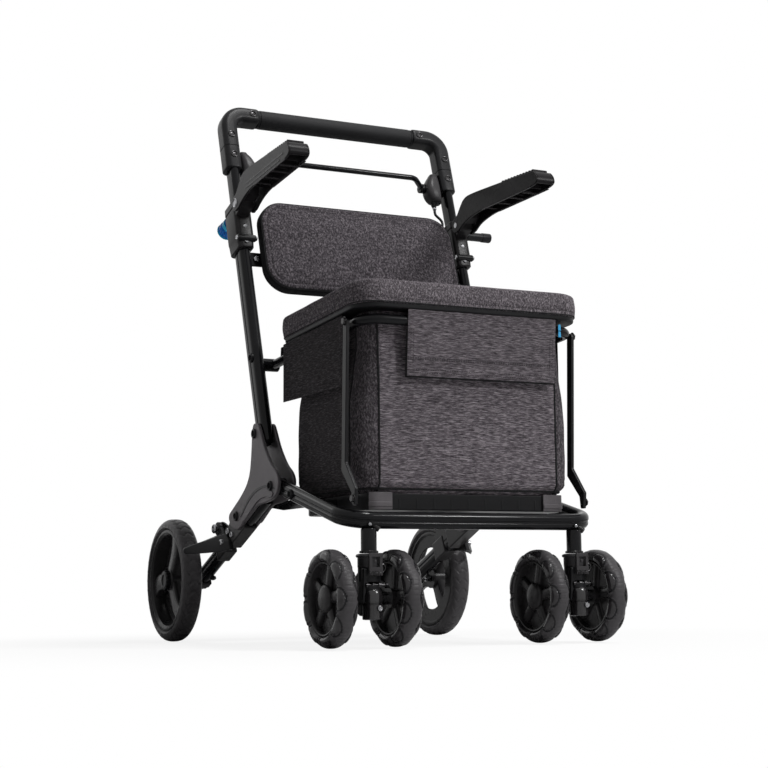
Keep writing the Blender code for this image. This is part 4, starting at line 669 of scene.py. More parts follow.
# Caster forks
# A glass-filled nylon block swivels under the stem and carries both wheels on one axle, a little
# behind the stem. Its collar, its foot and the steel pins of the swivel lock show in front.
FORK_TOP = 0.1405
AXLE_Y = STEM_Y + 0.022
FRONT_RADIUS = 0.0745
FRONT_WIDTH = 0.032
TWIN = 0.0535
CHEEK_SPAN = 0.0140
FORK_CHEEK = [(STEM_Y - 0.0060, 0.1140), (STEM_Y + 0.0160, 0.1140), (AXLE_Y + 0.0130, 0.0810),
              (AXLE_Y + 0.0120, 0.0665), (AXLE_Y + 0.0040, 0.0615), (AXLE_Y - 0.0140, 0.0480),
              (STEM_Y - 0.0010, 0.0500), (STEM_Y - 0.0060, 0.0680)]
FORK_SHIN = [(STEM_Y - 0.0150, 0.1190), (STEM_Y + 0.0040, 0.1190), (STEM_Y + 0.0040, 0.0680),
             (STEM_Y - 0.0110, 0.0680)]
BARREL = ((0.0985, 0.0164), (0.1000, 0.0168), (0.1200, 0.0168))
FORK_COLLAR = ((0.1196, 0.0160), (0.1202, 0.0172), (0.1345, 0.0172), (0.1352, 0.0192), (0.1372, 0.0198),
               (0.1392, 0.0188), (FORK_TOP - 0.0002, 0.0150))
FORK_FOOT = ((0.0430, 0.0118), (0.0434, 0.0142), (0.0444, 0.0150), (0.0650, 0.0150), (0.0656, 0.0142),
             (0.0672, 0.0142), (0.0678, 0.0152), (0.0790, 0.0152), (0.0850, 0.0138), (0.0885, 0.0108),
             (0.0900, 0.0060), (0.0903, 0.0004))
FORK_PINS = ((-0.0165, 0.0032), (-0.0155, 0.0044), (-0.0110, 0.0044), (-0.0106, 0.0026), (-0.0060, 0.0026),
             (-0.0056, 0.0050), (-0.0014, 0.0052), (-0.0010, 0.0032), (0.0040, 0.0032), (0.0044, 0.0048),
             (0.0096, 0.0048), (0.0100, 0.0028), (0.0160, 0.0028), (0.0166, 0.0046), (0.0205, 0.0042),
             (0.0208, 0.0004))
FORK_RING = ((0.0860, 0.0128), (0.0872, 0.0140), (0.0930, 0.0140), (0.0945, 0.0128))
FORK_SCREW = ((0.0, 0.0042), (0.0035, 0.0042), (0.0045, 0.0030), (0.0035, 0.0018), (0.0035, 0.0004))
collar_plastic = coat("collar_plastic", (0.034, 0.033, 0.035), 0.40, 0.0, 0.7, 0.2, 0.2)
foot_plastic = coat("foot_plastic", (0.014, 0.013, 0.014), 0.18, 0.0, 0.7, 0.1, 0.2, gleam=0.45)
pin_metal = coat("pin_metal", (0.034, 0.033, 0.034), 0.26, 0.8, 0.7, 0.1, 0.25)

for side_name, side in SIDES:
    x = side * CASTER_X
    body = "caster_" + side_name
    turned("fork_barrel_" + side_name, BARREL, (x, STEM_Y, 0.0), (0, 0, 1), 40, shoe_plastic, body,
           "dark_plastic", edge=0.0006)
    turned("fork_collar_" + side_name, FORK_COLLAR, (x, STEM_Y, 0.0), (0, 0, 1), 44, collar_plastic, body,
           "dark_plastic")
    turned("fork_foot_" + side_name, FORK_FOOT, (x + 0.0015, STEM_Y - 0.0070, 0.0), (0, 0, 1), 40,
           foot_plastic, body, "dark_plastic")
    turned("fork_pins_" + side_name, FORK_PINS, (x + 0.0040, STEM_Y - 0.0115, 0.0935), (1, 0, 0), 20,
           pin_metal, body, "dark_plastic")
    shape = bmesh.new()
    sheet_of(shape, eased(FORK_CHEEK), x - CHEEK_SPAN, x + CHEEK_SPAN)
    sheet_of(shape, FORK_SHIN, x - 0.0160, x - 0.0060)
    fit("fork_block_" + side_name, shape, shoe_plastic, body, "dark_plastic", "caster_fork_" + side_name,
        edge=0.0022, segments=3)
    turned("fork_ring_" + side_name, FORK_RING, (x, STEM_Y - 0.0050, 0.0), (0, 0, 1), 32, shoe_plastic, body,
           "dark_plastic")
    turned("fork_screw_" + side_name, FORK_SCREW, (x + 0.0060, STEM_Y - 0.0215, 0.0600), (0.1, -1, 0), 18,
           steel, body, "dark_plastic")
    shape = bmesh.new()
    for reach, radius, steps in ((TWIN - 0.011, 0.0098, 28), (TWIN + 0.012, 0.0059, 20)):
        turn_about(shape, ((-reach, radius), (reach, radius)), (x, AXLE_Y, FRONT_RADIUS), (1, 0, 0), steps)
    fit("fork_axle_" + side_name, shape, steel, body, "dark_plastic")

# Swivel locks
# The lock's plate is stamped steel with a square window, a finger ring and a short spring beside
# it. It slides down the fork's front to free the caster.
LOCK_Y = STEM_Y - 0.0173
LOCK_THICK = 0.003
LOCK_BARS = ((0.1076, 0.1200, -0.009, 0.013), (0.1360, 0.1410, -0.009, 0.013),
             (0.1200, 0.1360, -0.009, -0.0040), (0.1200, 0.1360, 0.0080, 0.013))
LOCK_RIVET = ((0.0, 0.0026), (0.0012, 0.0024), (0.0018, 0.0004))
LOCK_WIRE = 0.0011
SPRING_LENGTH = 0.018
SPRING_STEPS = 72
SPRING_REACH = 0.0030
SPRING_WIRE = 0.0006
lock_paint = coat("lock_paint", (0.044, 0.042, 0.044), 0.30, 0.2, 0.8, 0.25, 0.2)


def ring_of(radius, steps=20):
    """Round section."""
    return [(radius * math.cos(2 * math.pi * k / steps), radius * math.sin(2 * math.pi * k / steps))
            for k in range(steps)]


def cord_rings(path, radius, steps):
    """Rings of a round cord along any path, turned as little as can be from one to the next."""
    rings, across = [], None
    for i, point in enumerate(path):
        ahead = (path[min(i + 1, len(path) - 1)] - path[max(i - 1, 0)]).normalized()
        across = ahead.orthogonal() if across is None else across - ahead * across.dot(ahead)
        across.normalize()
        other = ahead.cross(across)
        rings.append([point + across * u + other * v for u, v in ring_of(radius, steps)])
    return rings


for side_name, side in SIDES:
    x = side * CASTER_X
    body = "swivel_lock_" + side_name
    shape = bmesh.new()
    for low, high, left, right_edge in LOCK_BARS:
        corners = [(x + left, low), (x + right_edge, low), (x + right_edge, high), (x + left, high)]
        bridge(shape, [[(u, y, w) for u, w in corners] for y in (LOCK_Y - LOCK_THICK, LOCK_Y)])
    turn_about(shape, LOCK_RIVET, (x + 0.0020, LOCK_Y + 0.0002, 0.1290), (0, -1, 0), 14)
    fit("lock_plate_" + side_name, shape, lock_paint, body, "dark_plastic", body, edge=0.0005)
    shape = bmesh.new()
    loop = [Vector((x + 0.0135 + 0.0042 * u, LOCK_Y - 0.0015, 0.1190 + 0.0055 * v))
            for u, v in ring_of(1.0, 24)]
    bridge(shape, follow(loop + loop[:1], ring_of(LOCK_WIRE, 8), (0, 1, 0)), caps=False)
    fit("lock_ring_" + side_name, shape, pin_metal, body, "dark_plastic")
    coils = []
    for k in range(SPRING_STEPS + 1):
        turn = 2 * math.pi * k / 12
        coils.append(Vector((x - 0.009 + SPRING_LENGTH * k / SPRING_STEPS,
                             LOCK_Y - 0.0034 + SPRING_REACH * math.cos(turn),
                             0.1106 + SPRING_REACH * math.sin(turn))))
    skinned("lock_spring_" + side_name, cord_rings(coils, SPRING_WIRE, 6), pin_metal, body, "dark_plastic")

# Front wheels
# Twin wheels run on each caster. The rims have five narrow spokes and a domed cap, and the tyres
# are soft, round-shouldered foam with half-round lugs moulded along both shoulders.
LUGS = 9
LUG_REACH = 0.0175
BEAD = 0.0545
FRONT_RIM = ((-0.0120, 0.0550), (-0.0128, 0.0540), (-0.0124, 0.0522), (-0.0105, 0.0510), (-0.0022, 0.0500),
             (-0.0014, 0.0130), (0.0004, 0.0130), (0.0010, 0.0500), (0.0105, 0.0510), (0.0124, 0.0522),
             (0.0130, 0.0540), (0.0120, 0.0550))
FRONT_SPOKE_TURN = math.radians(100)
FRONT_HUB = ((-0.0105, 0.0150), (-0.0105, 0.0064), (0.0080, 0.0064), (0.0080, 0.0150))
HUB_CAP = ((0.0060, 0.0210), (0.0092, 0.0213), (0.0112, 0.0200), (0.0130, 0.0160), (0.0142, 0.0100),
           (0.0147, 0.0004))
lug_rubber = coat("lug_rubber", (0.024, 0.022, 0.024), 0.16, 0.0, 0.7, 0.12, 0.18, gleam=0.30)


def lug_away(angle, x, r, half):
    """Distance from the nearest lug's middle at the bead, as a share of the lug's reach."""
    turn = angle * LUGS / (2 * math.pi) + (0.5 if x > 0 else 0.0)
    along = (((turn + 0.5) % 1.0) - 0.5) * 2 * math.pi * 0.066 / LUGS
    inward = max(0.0, r - 0.0570) + 0.62 * (half - abs(x))
    return math.hypot(along, inward) / LUG_REACH


def carve_front(angle, x, r, half):
    """Half-round lugs on the shoulders, set in turn on either side, and shallow nicks in the tread."""
    away = lug_away(angle, x, r, half)
    swell = 0.0027 * (1 - min(1.0, away) ** 5) ** 0.5
    ditch = 0.0021 if 1.0 <= away < 1.2 else 0.0
    nick = 0.0005 * max(0.0, 1 - abs(((angle * 60 / (2 * math.pi)) % 1.0) - 0.5) / 0.15)
    if abs(x) > half * 0.55:
        nick = 0.0
    push = (swell - ditch) * smooth(0.0560, 0.0582, r)
    sideways = (abs(x) / half) ** 1.5
    return math.copysign(push * sideways, x), push * 0.8 * (1 - sideways * 0.8) - nick


for side_name, side in SIDES:
    for place, way in (("outer", side), ("inner", -side)):
        here = f"{side_name}_{place}"
        body = "front_wheel_" + here
        centre = Vector((side * CASTER_X + way * TWIN, AXLE_Y, FRONT_RADIUS))
        shape = bmesh.new()
        wheel_tyre(shape, centre, way, FRONT_RADIUS - 0.0016, FRONT_WIDTH - 0.0042, BEAD, carve_front, 360)
        tyre = fit("tyre_front_" + here, shape, rubber, body, "tyre_rubber", "front_tyre_" + here, crease=60)
        tyre.data.materials.append(lug_rubber)
        tyre.data.materials.append(dark_cap)
        # Lug faces take the glossier lug rubber. The ring of faces round each lug, in its ditch, takes the
        # near-black dark_cap as painted shade.
        for face in tyre.data.polygons:
            x, y, z = face.center - centre
            away = lug_away(math.atan2(z, y), x * way, math.hypot(y, z), FRONT_WIDTH / 2 - 0.0021)
            face.material_index = 1 if away < 0.98 else (2 if away < 1.13 else 0)
        shape = bmesh.new()
        spun(shape, FRONT_RIM, centre, way, 84)
        spun(shape, FRONT_HUB, centre, way, 36)
        for number in range(5):
            spoke(shape, centre, way, FRONT_SPOKE_TURN + 2 * math.pi * number / 5, inner=0.010,
                  outer=0.0515, root=0.0080, tip=0.0098, thick=0.0066, dish=0.0020, curve=0.0, blunt=0.6)
        fit("rim_front_" + here, shape, wheel_plastic, body, "dark_plastic", "front_rim_" + here)
        turned("hub_cap_" + here, HUB_CAP, centre, (way, 0, 0), 40, wheel_plastic, body, "dark_plastic",
               crease=50)

# Bag tray
# A shallow moulded tray hangs between the lower frame's arms. Its rim is rolled, ribs stand on
# its outside, moulded hooks reach to the arms, and cast brackets clasp its front corners.
TRAY_HALF = 0.175
TRAY_Y = (-0.322, -0.088)
TRAY_Z = (0.2065, 0.2315)
TRAY_CORNER = 0.020
RIB_STEP = 0.030
TRAY_WALL = ((TRAY_Z[0], -0.0020), (TRAY_Z[0] + 0.0015, -0.0006), (TRAY_Z[0] + 0.0170, -0.0006),
             (TRAY_Z[0] + 0.0185, 0.0), (TRAY_Z[1] - 0.0005, 0.0), (TRAY_Z[1], -0.0008),
             (TRAY_Z[1], -0.0024), (TRAY_Z[1] - 0.0006, -0.0030), (TRAY_Z[0] + 0.004, -0.0030))
TRAY_HOOK = [(-0.214, TRAY_Z[0] + 0.003), (-0.196, TRAY_Z[0] + 0.003), (-0.196, TRAY_Z[0] + 0.021),
             (-0.214, TRAY_Z[0] + 0.021)]
BRACKET_BANDS = ((TRAY_Z[0] + 0.0005, TRAY_Z[1] + 0.0020, 0.0018),
                 (TRAY_Z[0] + 0.0050, TRAY_Z[0] + 0.0120, 0.0028))
TRAY_RIB = ((-0.0012, -0.001), (0.0012, -0.001), (0.0012, 0.0003), (-0.0012, 0.0003))
TRAY_SCREW = ((0.0, 0.0042), (0.0012, 0.0042), (0.0022, 0.0032), (0.0016, 0.0016), (0.0014, 0.0003))


def frame_of(half, near, far, corner, count=120):
    """Points at even steps round a rectangle with round corners, from the front's middle."""
    straight_x, straight_y = 2 * (half - corner), (far - near) - 2 * corner
    arc = math.pi * corner / 2
    total = 2 * straight_x + 2 * straight_y + 4 * arc
    points = []
    for i in range(count):
        run = (total * i / count + straight_x / 2) % total
        x, y, heading = -half + corner, near, 0.0
        for length, turning in 2 * ((straight_x, False), (arc, True), (straight_y, False), (arc, True)):
            step = min(run, length)
            if turning:
                bend = step / corner
                x += corner * (math.sin(heading + bend) - math.sin(heading))
                y += corner * (math.cos(heading) - math.cos(heading + bend))
                heading += bend
            else:
                x += step * math.cos(heading)
                y += step * math.sin(heading)
            run -= step
            if run <= 0:
                break
        points.append(Vector((x, y)))
    return points


shape = bmesh.new()
rings = []
for z, grow in TRAY_WALL:
    outline = frame_of(TRAY_HALF + grow, TRAY_Y[0] - grow, TRAY_Y[1] + grow, TRAY_CORNER + grow)
    rings.append([(p.x, p.y, z) for p in outline])
bridge(shape, rings)
for k in range(-4, 5):
    for y, way in ((TRAY_Y[0] + 0.0003, -1), (TRAY_Y[1] - 0.0003, 1)):
        bridge(shape, [[(RIB_STEP * k + u, y + way * v, z) for u, v in TRAY_RIB]
                       for z in (TRAY_Z[0] + 0.002, TRAY_Z[0] + 0.0180)])
for side_name, side in SIDES:
    sheet_of(shape, TRAY_HOOK, side * (TRAY_HALF - 0.002), side * (LOWER_X - LOWER_TUBE[0] / 2 - 0.0003))
fit("tray", shape, shoe_plastic, "lower", "painted_frame", "bag_tray", edge=0.0005)
for side_name, side in SIDES:
    shape = bmesh.new()
    for low, high, grow in BRACKET_BANDS:
        corner = [p for p in frame_of(TRAY_HALF + grow, TRAY_Y[0] - grow, TRAY_Y[1], TRAY_CORNER, 240)
                  if p.x * side > TRAY_HALF - 0.044 and p.y < TRAY_Y[0] + 0.005]
        corner.sort(key=lambda p: p.y - p.x * side)
        path = [Vector((p.x, p.y, (low + high) / 2)) for p in corner]
        strip = [(0.0014 * a, (high - low) / 2 * b) for a, b in ((-1, -1), (1, -1), (1, 1), (-1, 1))]
        bridge(shape, follow(path, strip, (0, 0, 1)))
    fit("tray_bracket_" + side_name, shape, hammered_grey, "lower", "hammered_grey", edge=0.0006)
    place = (side * (TRAY_HALF - 0.030), TRAY_Y[0] - 0.0002, TRAY_Z[0] + 0.0125)
    turned("tray_screw_" + side_name, TRAY_SCREW, place, (0, -1, 0), 16, pin_metal, "lower", "painted_frame")

# Seat frame
# A U of round steel tube pivots on bolts through the uprights. It carries the lid, and the flaps
# hang from it. The paint is the frame's, a little glossier.
SEAT_X = 0.185
SEAT_PIVOT = Vector((0.0, 0.01745, 0.468))
SEAT_FRONT = Vector((0.0, -0.340, 0.4945))
SEAT_TUBE = 0.008
seat_slope = (SEAT_FRONT.z - SEAT_PIVOT.z) / (SEAT_FRONT.y - SEAT_PIVOT.y)
POST_TOP = Vector((0.0, -0.3107, SEAT_PIVOT.z + seat_slope * (-0.3107 - SEAT_PIVOT.y)))
LID_BACK = -0.034
LID_FOOT = 0.4926
LID_TILT = math.radians(3.4)
SEAT_BEND = 0.030
SEAT_EYE = ((-0.0090, 0.0098), (-0.0080, 0.0110), (0.0200, 0.0110), (0.0207, 0.0102))
SEAT_BOLT = ((0.0150, 0.0040), (0.0190, 0.0040), (0.0192, 0.0004))
gloss_black = coat("gloss_black", (0.007, 0.007, 0.008), 0.14, 0.0, 2.4, 0.06, 0.2, 0.05)


def lid_under(y):
    """Height of the lid's underside, which rises a little towards the front."""
    return LID_FOOT + (LID_BACK - y) * math.tan(LID_TILT)


seat_corners = ((-SEAT_X, SEAT_PIVOT.y, SEAT_PIVOT.z), (-SEAT_X, SEAT_FRONT.y, SEAT_FRONT.z),
                (SEAT_X, SEAT_FRONT.y, SEAT_FRONT.z), (SEAT_X, SEAT_PIVOT.y, SEAT_PIVOT.z))
lid_ear = [(LID_BACK - 0.008, 0.474), (LID_BACK + 0.008, 0.474), (LID_BACK + 0.006, LID_FOOT - 0.0008),
           (LID_BACK - 0.006, LID_FOOT - 0.0003)]
shape = bmesh.new()
bridge(shape, follow(bent(seat_corners, SEAT_BEND, 15), ring_of(SEAT_TUBE), (0.0, -seat_slope, 1.0)))
for side_name, side in SIDES:
    turn_about(shape, SEAT_EYE, (side * SEAT_X, SEAT_PIVOT.y, SEAT_PIVOT.z), (side, 0, 0), 28)
    sheet_of(shape, lid_ear, side * (SEAT_X - 0.003), side * (SEAT_X + 0.005))
fit("seat_tube", shape, gloss_black, "seat", "painted_frame", "seat_frame", edge=0.0004)
for side_name, side in SIDES:
    turned("seat_bolt_" + side_name, SEAT_BOLT, (side * SEAT_X, POST_TOP.y, POST_TOP.z), (side, 0, 0), 16,
           pin_metal, "seat", "painted_frame")

# Seat posts
# Flat steel bars hang from bolts on the seat frame and are cranked forward at the foot, where
# a second bolt meets the lower frame.
POST_INNER = 0.1983
POST_THICK = 0.006
POST_KINK = (-0.301, 0.266)
POST_FOOT = (-0.3355, 0.219)
post_paint = coat("post_paint", (0.013, 0.013, 0.014), 0.30, 0.1, 1.8, 0.12, 0.2)
HEX = [(0.0, 0.0062), (0.0030, 0.0062), (0.0038, 0.0052), (0.0038, 0.0003)]
WASHER = ((0.0, 0.0074), (0.0008, 0.0074))
post_outline = [(POST_TOP.y + 0.007 * math.cos(math.pi * k / 8),
                 POST_TOP.z - 0.0010 + 0.0062 * math.sin(math.pi * k / 8)) for k in range(9)]
post_outline += [(POST_KINK[0] - 0.007, POST_KINK[1] + 0.012), (POST_FOOT[0] - 0.007, POST_FOOT[1] + 0.018),
                 (POST_FOOT[0] - 0.0042, POST_FOOT[1] - 0.007), (POST_FOOT[0] + 0.0042, POST_FOOT[1] - 0.007),
                 (POST_FOOT[0] + 0.007, POST_FOOT[1] + 0.012), (POST_KINK[0] + 0.007, POST_KINK[1])]
for side_name, side in SIDES:
    body = "post_" + side_name
    plated(body, post_outline, side * (POST_INNER + 0.0003), side * (POST_INNER + POST_THICK), post_paint,
           body, "painted_frame", "seat_post_" + side_name, edge=0.0014, segments=3)
    for name, y, z in (("top", POST_TOP.y, POST_TOP.z), ("foot", POST_FOOT[0], POST_FOOT[1] + 0.003)):
        outer = Vector((side * (POST_INNER + POST_THICK), y, z))
        shape = bmesh.new()
        turn_about(shape, HEX, outer, (side, 0, 0), 6)
        turn_about(shape, WASHER, outer, (side, 0, 0), 24)
        fit(f"post_bolt_{name}_{side_name}", shape, pin_metal, body, "painted_frame", edge=0.0003, crease=25)

# Bag
# The bag is sewn from heather polyester over a light lining. Its front and sides bulge between
# piped seams, the corner panels pull in, and it slouches above the tray. The sides and the front's
# corner panels take darker copies of its cloth: painted shade.
BAG_WALL = 0.003
BAG_FOOT = 0.2112
BAG_TOP = 0.5000
RIM_CLEAR = 0.0006
WEAVE = 260.0


def heather(name, dark, middle, pale, stretch, relief=0.55, sheen=0.03):
    """Melange cloth: yarns of three shades drawn out along one direction, over a plain weave."""
    material = bpy.data.materials.new(name)
    material.use_nodes = True
    tree = material.node_tree
    shader = tree.nodes["Principled BSDF"]
    shader.inputs["Roughness"].default_value = 0.92
    shader.inputs["Sheen Weight"].default_value = sheen
    shader.inputs["Sheen Roughness"].default_value = 0.6
    shader.inputs["Specular IOR Level"].default_value = 0.08
    place = add_node(tree, "TexCoord")
    yarn = add_node(tree, "Mapping", {"Scale": stretch})
    streak = add_node(tree, "TexNoise", {"Scale": 1.0, "Detail": 5.0, "Roughness": 0.72})
    ramp = add_node(tree, "ValToRGB")
    ramp.color_ramp.elements[0].position = 0.32
    ramp.color_ramp.elements[0].color = (*dark, 1.0)
    ramp.color_ramp.elements[1].position = 0.70
    ramp.color_ramp.elements[1].color = (*pale, 1.0)
    ramp.color_ramp.elements.new(0.50).color = (*middle, 1.0)
    fleck = add_node(tree, "TexNoise", {"Scale": 520.0, "Detail": 2.0})
    slub = add_node(tree, "TexNoise", {"Scale": 0.8, "Detail": 1.0})
    stray = add_node(tree, "MapRange", {"From Min": 0.58, "From Max": 0.72, "To Max": 0.24})
    strays = add_node(tree, "Mix", {7: (*[min(1.0, 1.7 * c) for c in pale], 1.0)}, data_type="RGBA")
    worn = add_node(tree, "TexNoise", {"Scale": 9.0, "Detail": 3.0})
    cloudy = add_node(tree, "MapRange", {"To Min": 0.86, "To Max": 1.12})
    tint = add_node(tree, "Mix", {0: 1.0}, data_type="RGBA", blend_type="MULTIPLY")
    warp = add_node(tree, "TexWave", {"Scale": WEAVE}, bands_direction="X")
    weft = add_node(tree, "TexWave", {"Scale": WEAVE}, bands_direction="Z")
    crossing = add_node(tree, "Math", operation="MULTIPLY")
    height = add_node(tree, "Math", operation="ADD")
    bump = add_node(tree, "Bump", {"Strength": relief, "Distance": 0.0005})
    for texture in (fleck, worn, warp, weft, yarn):
        wire(tree, (place, "Object", texture, "Vector"))
    wire(tree, (yarn, "Vector", streak, "Vector"), (yarn, "Vector", slub, "Vector"),
         (streak, "Fac", ramp, "Fac"), (worn, "Fac", cloudy, "Value"), (slub, "Fac", stray, "Value"),
         (stray, "Result", strays, 0), (ramp, "Color", strays, 6), (strays, 2, tint, 6),
         (cloudy, "Result", tint, 7), (tint, 2, shader, "Base Color"), (warp, "Fac", crossing, 0),
         (weft, "Fac", crossing, 1), (crossing, 0, height, 0), (fleck, "Fac", height, 1),
         (height, 0, bump, "Height"), (bump, "Normal", shader, "Normal"))
    return material


CROSSWISE = (90.0, 640.0, 820.0)
SPECKLE = (360.0, 520.0, 230.0)
DOWN_THE_SIDE = (260.0, 90.0, 700.0)
bag_cloth = heather("bag_cloth", (0.012, 0.010, 0.012), (0.092, 0.080, 0.090), (0.360, 0.325, 0.350),
                    CROSSWISE)
# A darker copy of the bag's cloth: painted shade on the bag's sides and on the side flaps.
side_shade_cloth = heather("side_shade_cloth", (0.006, 0.005, 0.006), (0.026, 0.023, 0.025), (0.115, 0.104, 0.112),
                       DOWN_THE_SIDE)
# Another darker copy for the front's corner panels: painted shade on panels that face away from the light.
corner_shade_cloth = heather("corner_shade_cloth", (0.009, 0.008, 0.009), (0.050, 0.044, 0.049), (0.205, 0.185, 0.200),
                      SPECKLE)
lining = heather("bag_lining", (0.020, 0.020, 0.022), (0.030, 0.030, 0.033), (0.045, 0.045, 0.048), CROSSWISE)
binding = heather("binding_tape", (0.010, 0.010, 0.011), (0.017, 0.017, 0.018), (0.028, 0.028, 0.030),
                  (300.0, 300.0, 300.0), 0.8, 0.01)
FLOOR_EDGE = (0.1716, -0.3184, -0.0916, 0.018)
WAIST_EDGE = (0.1761, -0.3300, -0.0680, 0.030)
SLOUCH = (0.2315, 0.2535)
BAG_BELLY = 0.0119
CORNER_SEAM = 0.1565
SIDE_SEAM = -0.2900
BAG_STEPS = 240
INSIDE_LEVELS = (BAG_TOP, 0.448, 0.42, 0.377, 0.2535, 0.2315, 0.2146)


def bag_ring(z, inset, soft=True):
    """Outline of the bag at a height, drawn in by the cloth's thickness for its inside."""
    up = smooth(*SLOUCH, z)
    waist = WAIST_EDGE[0] + BAG_BELLY * (1 - smooth(0.350, 0.465, z))
    half = FLOOR_EDGE[0] + (waist - FLOOR_EDGE[0]) * up
    near, far, corner = [a + (b - a) * up for a, b in zip(FLOOR_EDGE[1:], WAIST_EDGE[1:])]
    points = frame_of(half - inset, near + inset, far - inset, corner - inset, BAG_STEPS)
    rim = smooth(0.36, BAG_TOP, z)
    if not soft:
        return [(p.x, p.y, z + rim * (lid_under(p.y) - RIM_CLEAR - BAG_TOP)) for p in points]
    ring = []
    middle = (near + far) / 2
    bulge = smooth(0.232, 0.30, z) * (1 - smooth(0.37, 0.45, z))
    roll = 0.0030 * math.exp(-((z - 0.2440) / 0.0055) ** 2)
    roll -= 0.0018 * math.exp(-((z - 0.2545) / 0.0024) ** 2)
    for p in points:
        share_x, share_y = abs(p.x) / half, abs(p.y - middle) / ((far - near) / 2)
        belly = max(0.0, 1 - min(share_x, share_y) ** 2) * bulge
        pull = smooth(0.80, 1.0, share_x) * smooth(0.72, 1.0, share_y)
        ripple = math.sin(p.x * 61 + z * 44) * math.sin(z * 83 - p.y * 37)
        fold = math.sin(z * 210 + 3.0 * math.sin(p.x * 26)) * (1 - smooth(0.236, 0.275, z))
        lift = roll + 0.0016 * belly - 0.0022 * pull + 0.0006 * ripple + 0.0007 * fold - 0.0012
        if share_y > share_x:
            way = Vector((0.0, math.copysign(1.0, p.y - middle)))
        elif share_x > share_y:
            way = Vector((math.copysign(1.0, p.x), 0.0))
        else:
            way = Vector((p.x / half * 0.5, (p.y - middle) / (far - near))).normalized()
        moved = p + way * lift
        ring.append((moved.x, moved.y, z + rim * (lid_under(moved.y) - RIM_CLEAR - BAG_TOP)))
    return ring


heights = [BAG_FOOT + 0.0204 * k / 4 for k in range(4)]
heights += [0.2320 + (BAG_TOP - 0.2320) * k / 78 for k in range(79)]
bag_rings = [bag_ring(z, 0.0) for z in heights]
inside = [bag_ring(z, BAG_WALL, False) for z in INSIDE_LEVELS]
bag = skinned("shopping_bag", bag_rings + inside, bag_cloth, "lower", "grey_fabric", "bag", crease=60)
for cloth in (side_shade_cloth, lining, corner_shade_cloth):
    bag.data.materials.append(cloth)
for face in bag.data.polygons:
    place = face.center
    if face.index >= BAG_STEPS * (len(heights) - 1):
        face.material_index = 2
    # The sides take the darker copy of the cloth: painted shade.
    elif abs(place.x) > CORNER_SEAM - 0.006 and place.y >= SIDE_SEAM:
        face.material_index = 1
    # The front's corner panels take the darker corner cloth: painted shade.
    elif abs(place.x) > CORNER_SEAM and place.y < SIDE_SEAM:
        face.material_index = 3
soft_pieces = [bag]


def piping(name, path, radius, body):
    """A thin bound cord sewn along a path."""
    return skinned(name, cord_rings(path, radius, 10), binding, body, "grey_fabric")


def crossing_of(ring, axis, level, kept):
    """Where a ring passes a level on one axis, on the kept part of the ring."""
    for start, end in zip(ring, ring[1:] + ring[:1]):
        if kept(start) and (start[axis] - level) * (end[axis] - level) <= 0 and start[axis] != end[axis]:
            return Vector(start).lerp(Vector(end), (level - start[axis]) / (end[axis] - start[axis]))
    return None


for side_name, side in SIDES:
    for name, axis, level, kept in (("front", 0, side * CORNER_SEAM, lambda q: q[1] < -0.25),
                                    ("side", 1, SIDE_SEAM, lambda q: q[0] * side > 0)):
        seam = [crossing_of(ring, axis, level, kept) for ring in bag_rings[4:-6]]
        soft_pieces.append(piping(f"bag_piping_{name}_{side_name}", seam, 0.0016, "lower"))
hem = [Vector(point) for point in bag_rings[6]]
soft_pieces.append(piping("bag_foot_piping", hem + hem[:1], 0.0022, "lower"))
for piece in soft_pieces:
    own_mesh(piece)

# Flaps
# Three flaps hang from the seat tube, over the front and both sides of the bag. The front one is
# of the bag's cloth with a bound edge, and all three have a hem sewn with two rows of thread. A dark
# strip behind the front flap's foot and left edge is a painted shadow of the flap.
FLAP_HALF = 0.132
FLAP_MIDDLE = 0.017
FLAP_FRONT = SEAT_FRONT.y - SEAT_TUBE - 0.0035
FLAP_LEAN = 0.085
FLAP_THICK = 0.0030
FLAP_TOP, FLAP_FOOT = lid_under(FLAP_FRONT) - RIM_CLEAR, 0.410
SIDE_FLAP_X = 0.1932
SIDE_FLAP_Y = (-0.282, -0.0505)
SIDE_TOP, SIDE_FOOT = lid_under(SIDE_FLAP_Y[0]) - RIM_CLEAR, 0.397
FLAP_SEAMS = (0.0730, 0.0752)
FRONT_HEM = (0.0050, 0.0100)
SIDE_HEM = (0.0050, 0.0110)
PULL_TAB = ((0.1530, 0.5035), (0.1570, 0.5035), (0.1577, 0.4940), (0.1525, 0.4940))
SEWN = 0.0021
STITCH_PITCH, STITCH_LENGTH, THREAD = 0.0042, 0.0028, 0.00042
STITCH_FORM = ((-0.5, 0.35, 0.1), (-0.3, 1.0, 0.8), (0.3, 1.0, 0.8), (0.5, 0.35, 0.1))
thread = coat("sewing_thread", (0.026, 0.024, 0.026), 0.8, 0.0, 0.4, 0.3, 0.2)
tab_blue = coat("tab_blue", (0.060, 0.340, 0.620), 0.50, 0.0, 0.8, 0.2, 0.1)
flap_cloth = heather("flap_cloth", (0.014, 0.012, 0.014), (0.086, 0.075, 0.084), (0.290, 0.262, 0.282),
                     CROSSWISE)


def stitches(name, path, normal, body):
    """Thread stitches laid along a path, a little proud of the cloth."""
    bm = bmesh.new()
    run, target = 0.0, 0.0
    for start, end in zip(path, path[1:]):
        gap = (end - start).length
        while gap > 0 and target < run + gap:
            middle = start.lerp(end, (target - run) / gap)
            ahead = (end - start).normalized()
            out = normal(middle) if callable(normal) else Vector(normal)
            across = ahead.cross(out).normalized()
            rings = []
            for share, thick, lift in STITCH_FORM:
                centre = middle + ahead * (STITCH_LENGTH * share) + out * (THREAD * lift)
                rings.append([centre + across * u + out * v for u, v in ring_of(THREAD * thick, 6)])
            bridge(bm, rings)
            target += STITCH_PITCH
        run += gap
    fit(name, bm, thread, body, "grey_fabric")


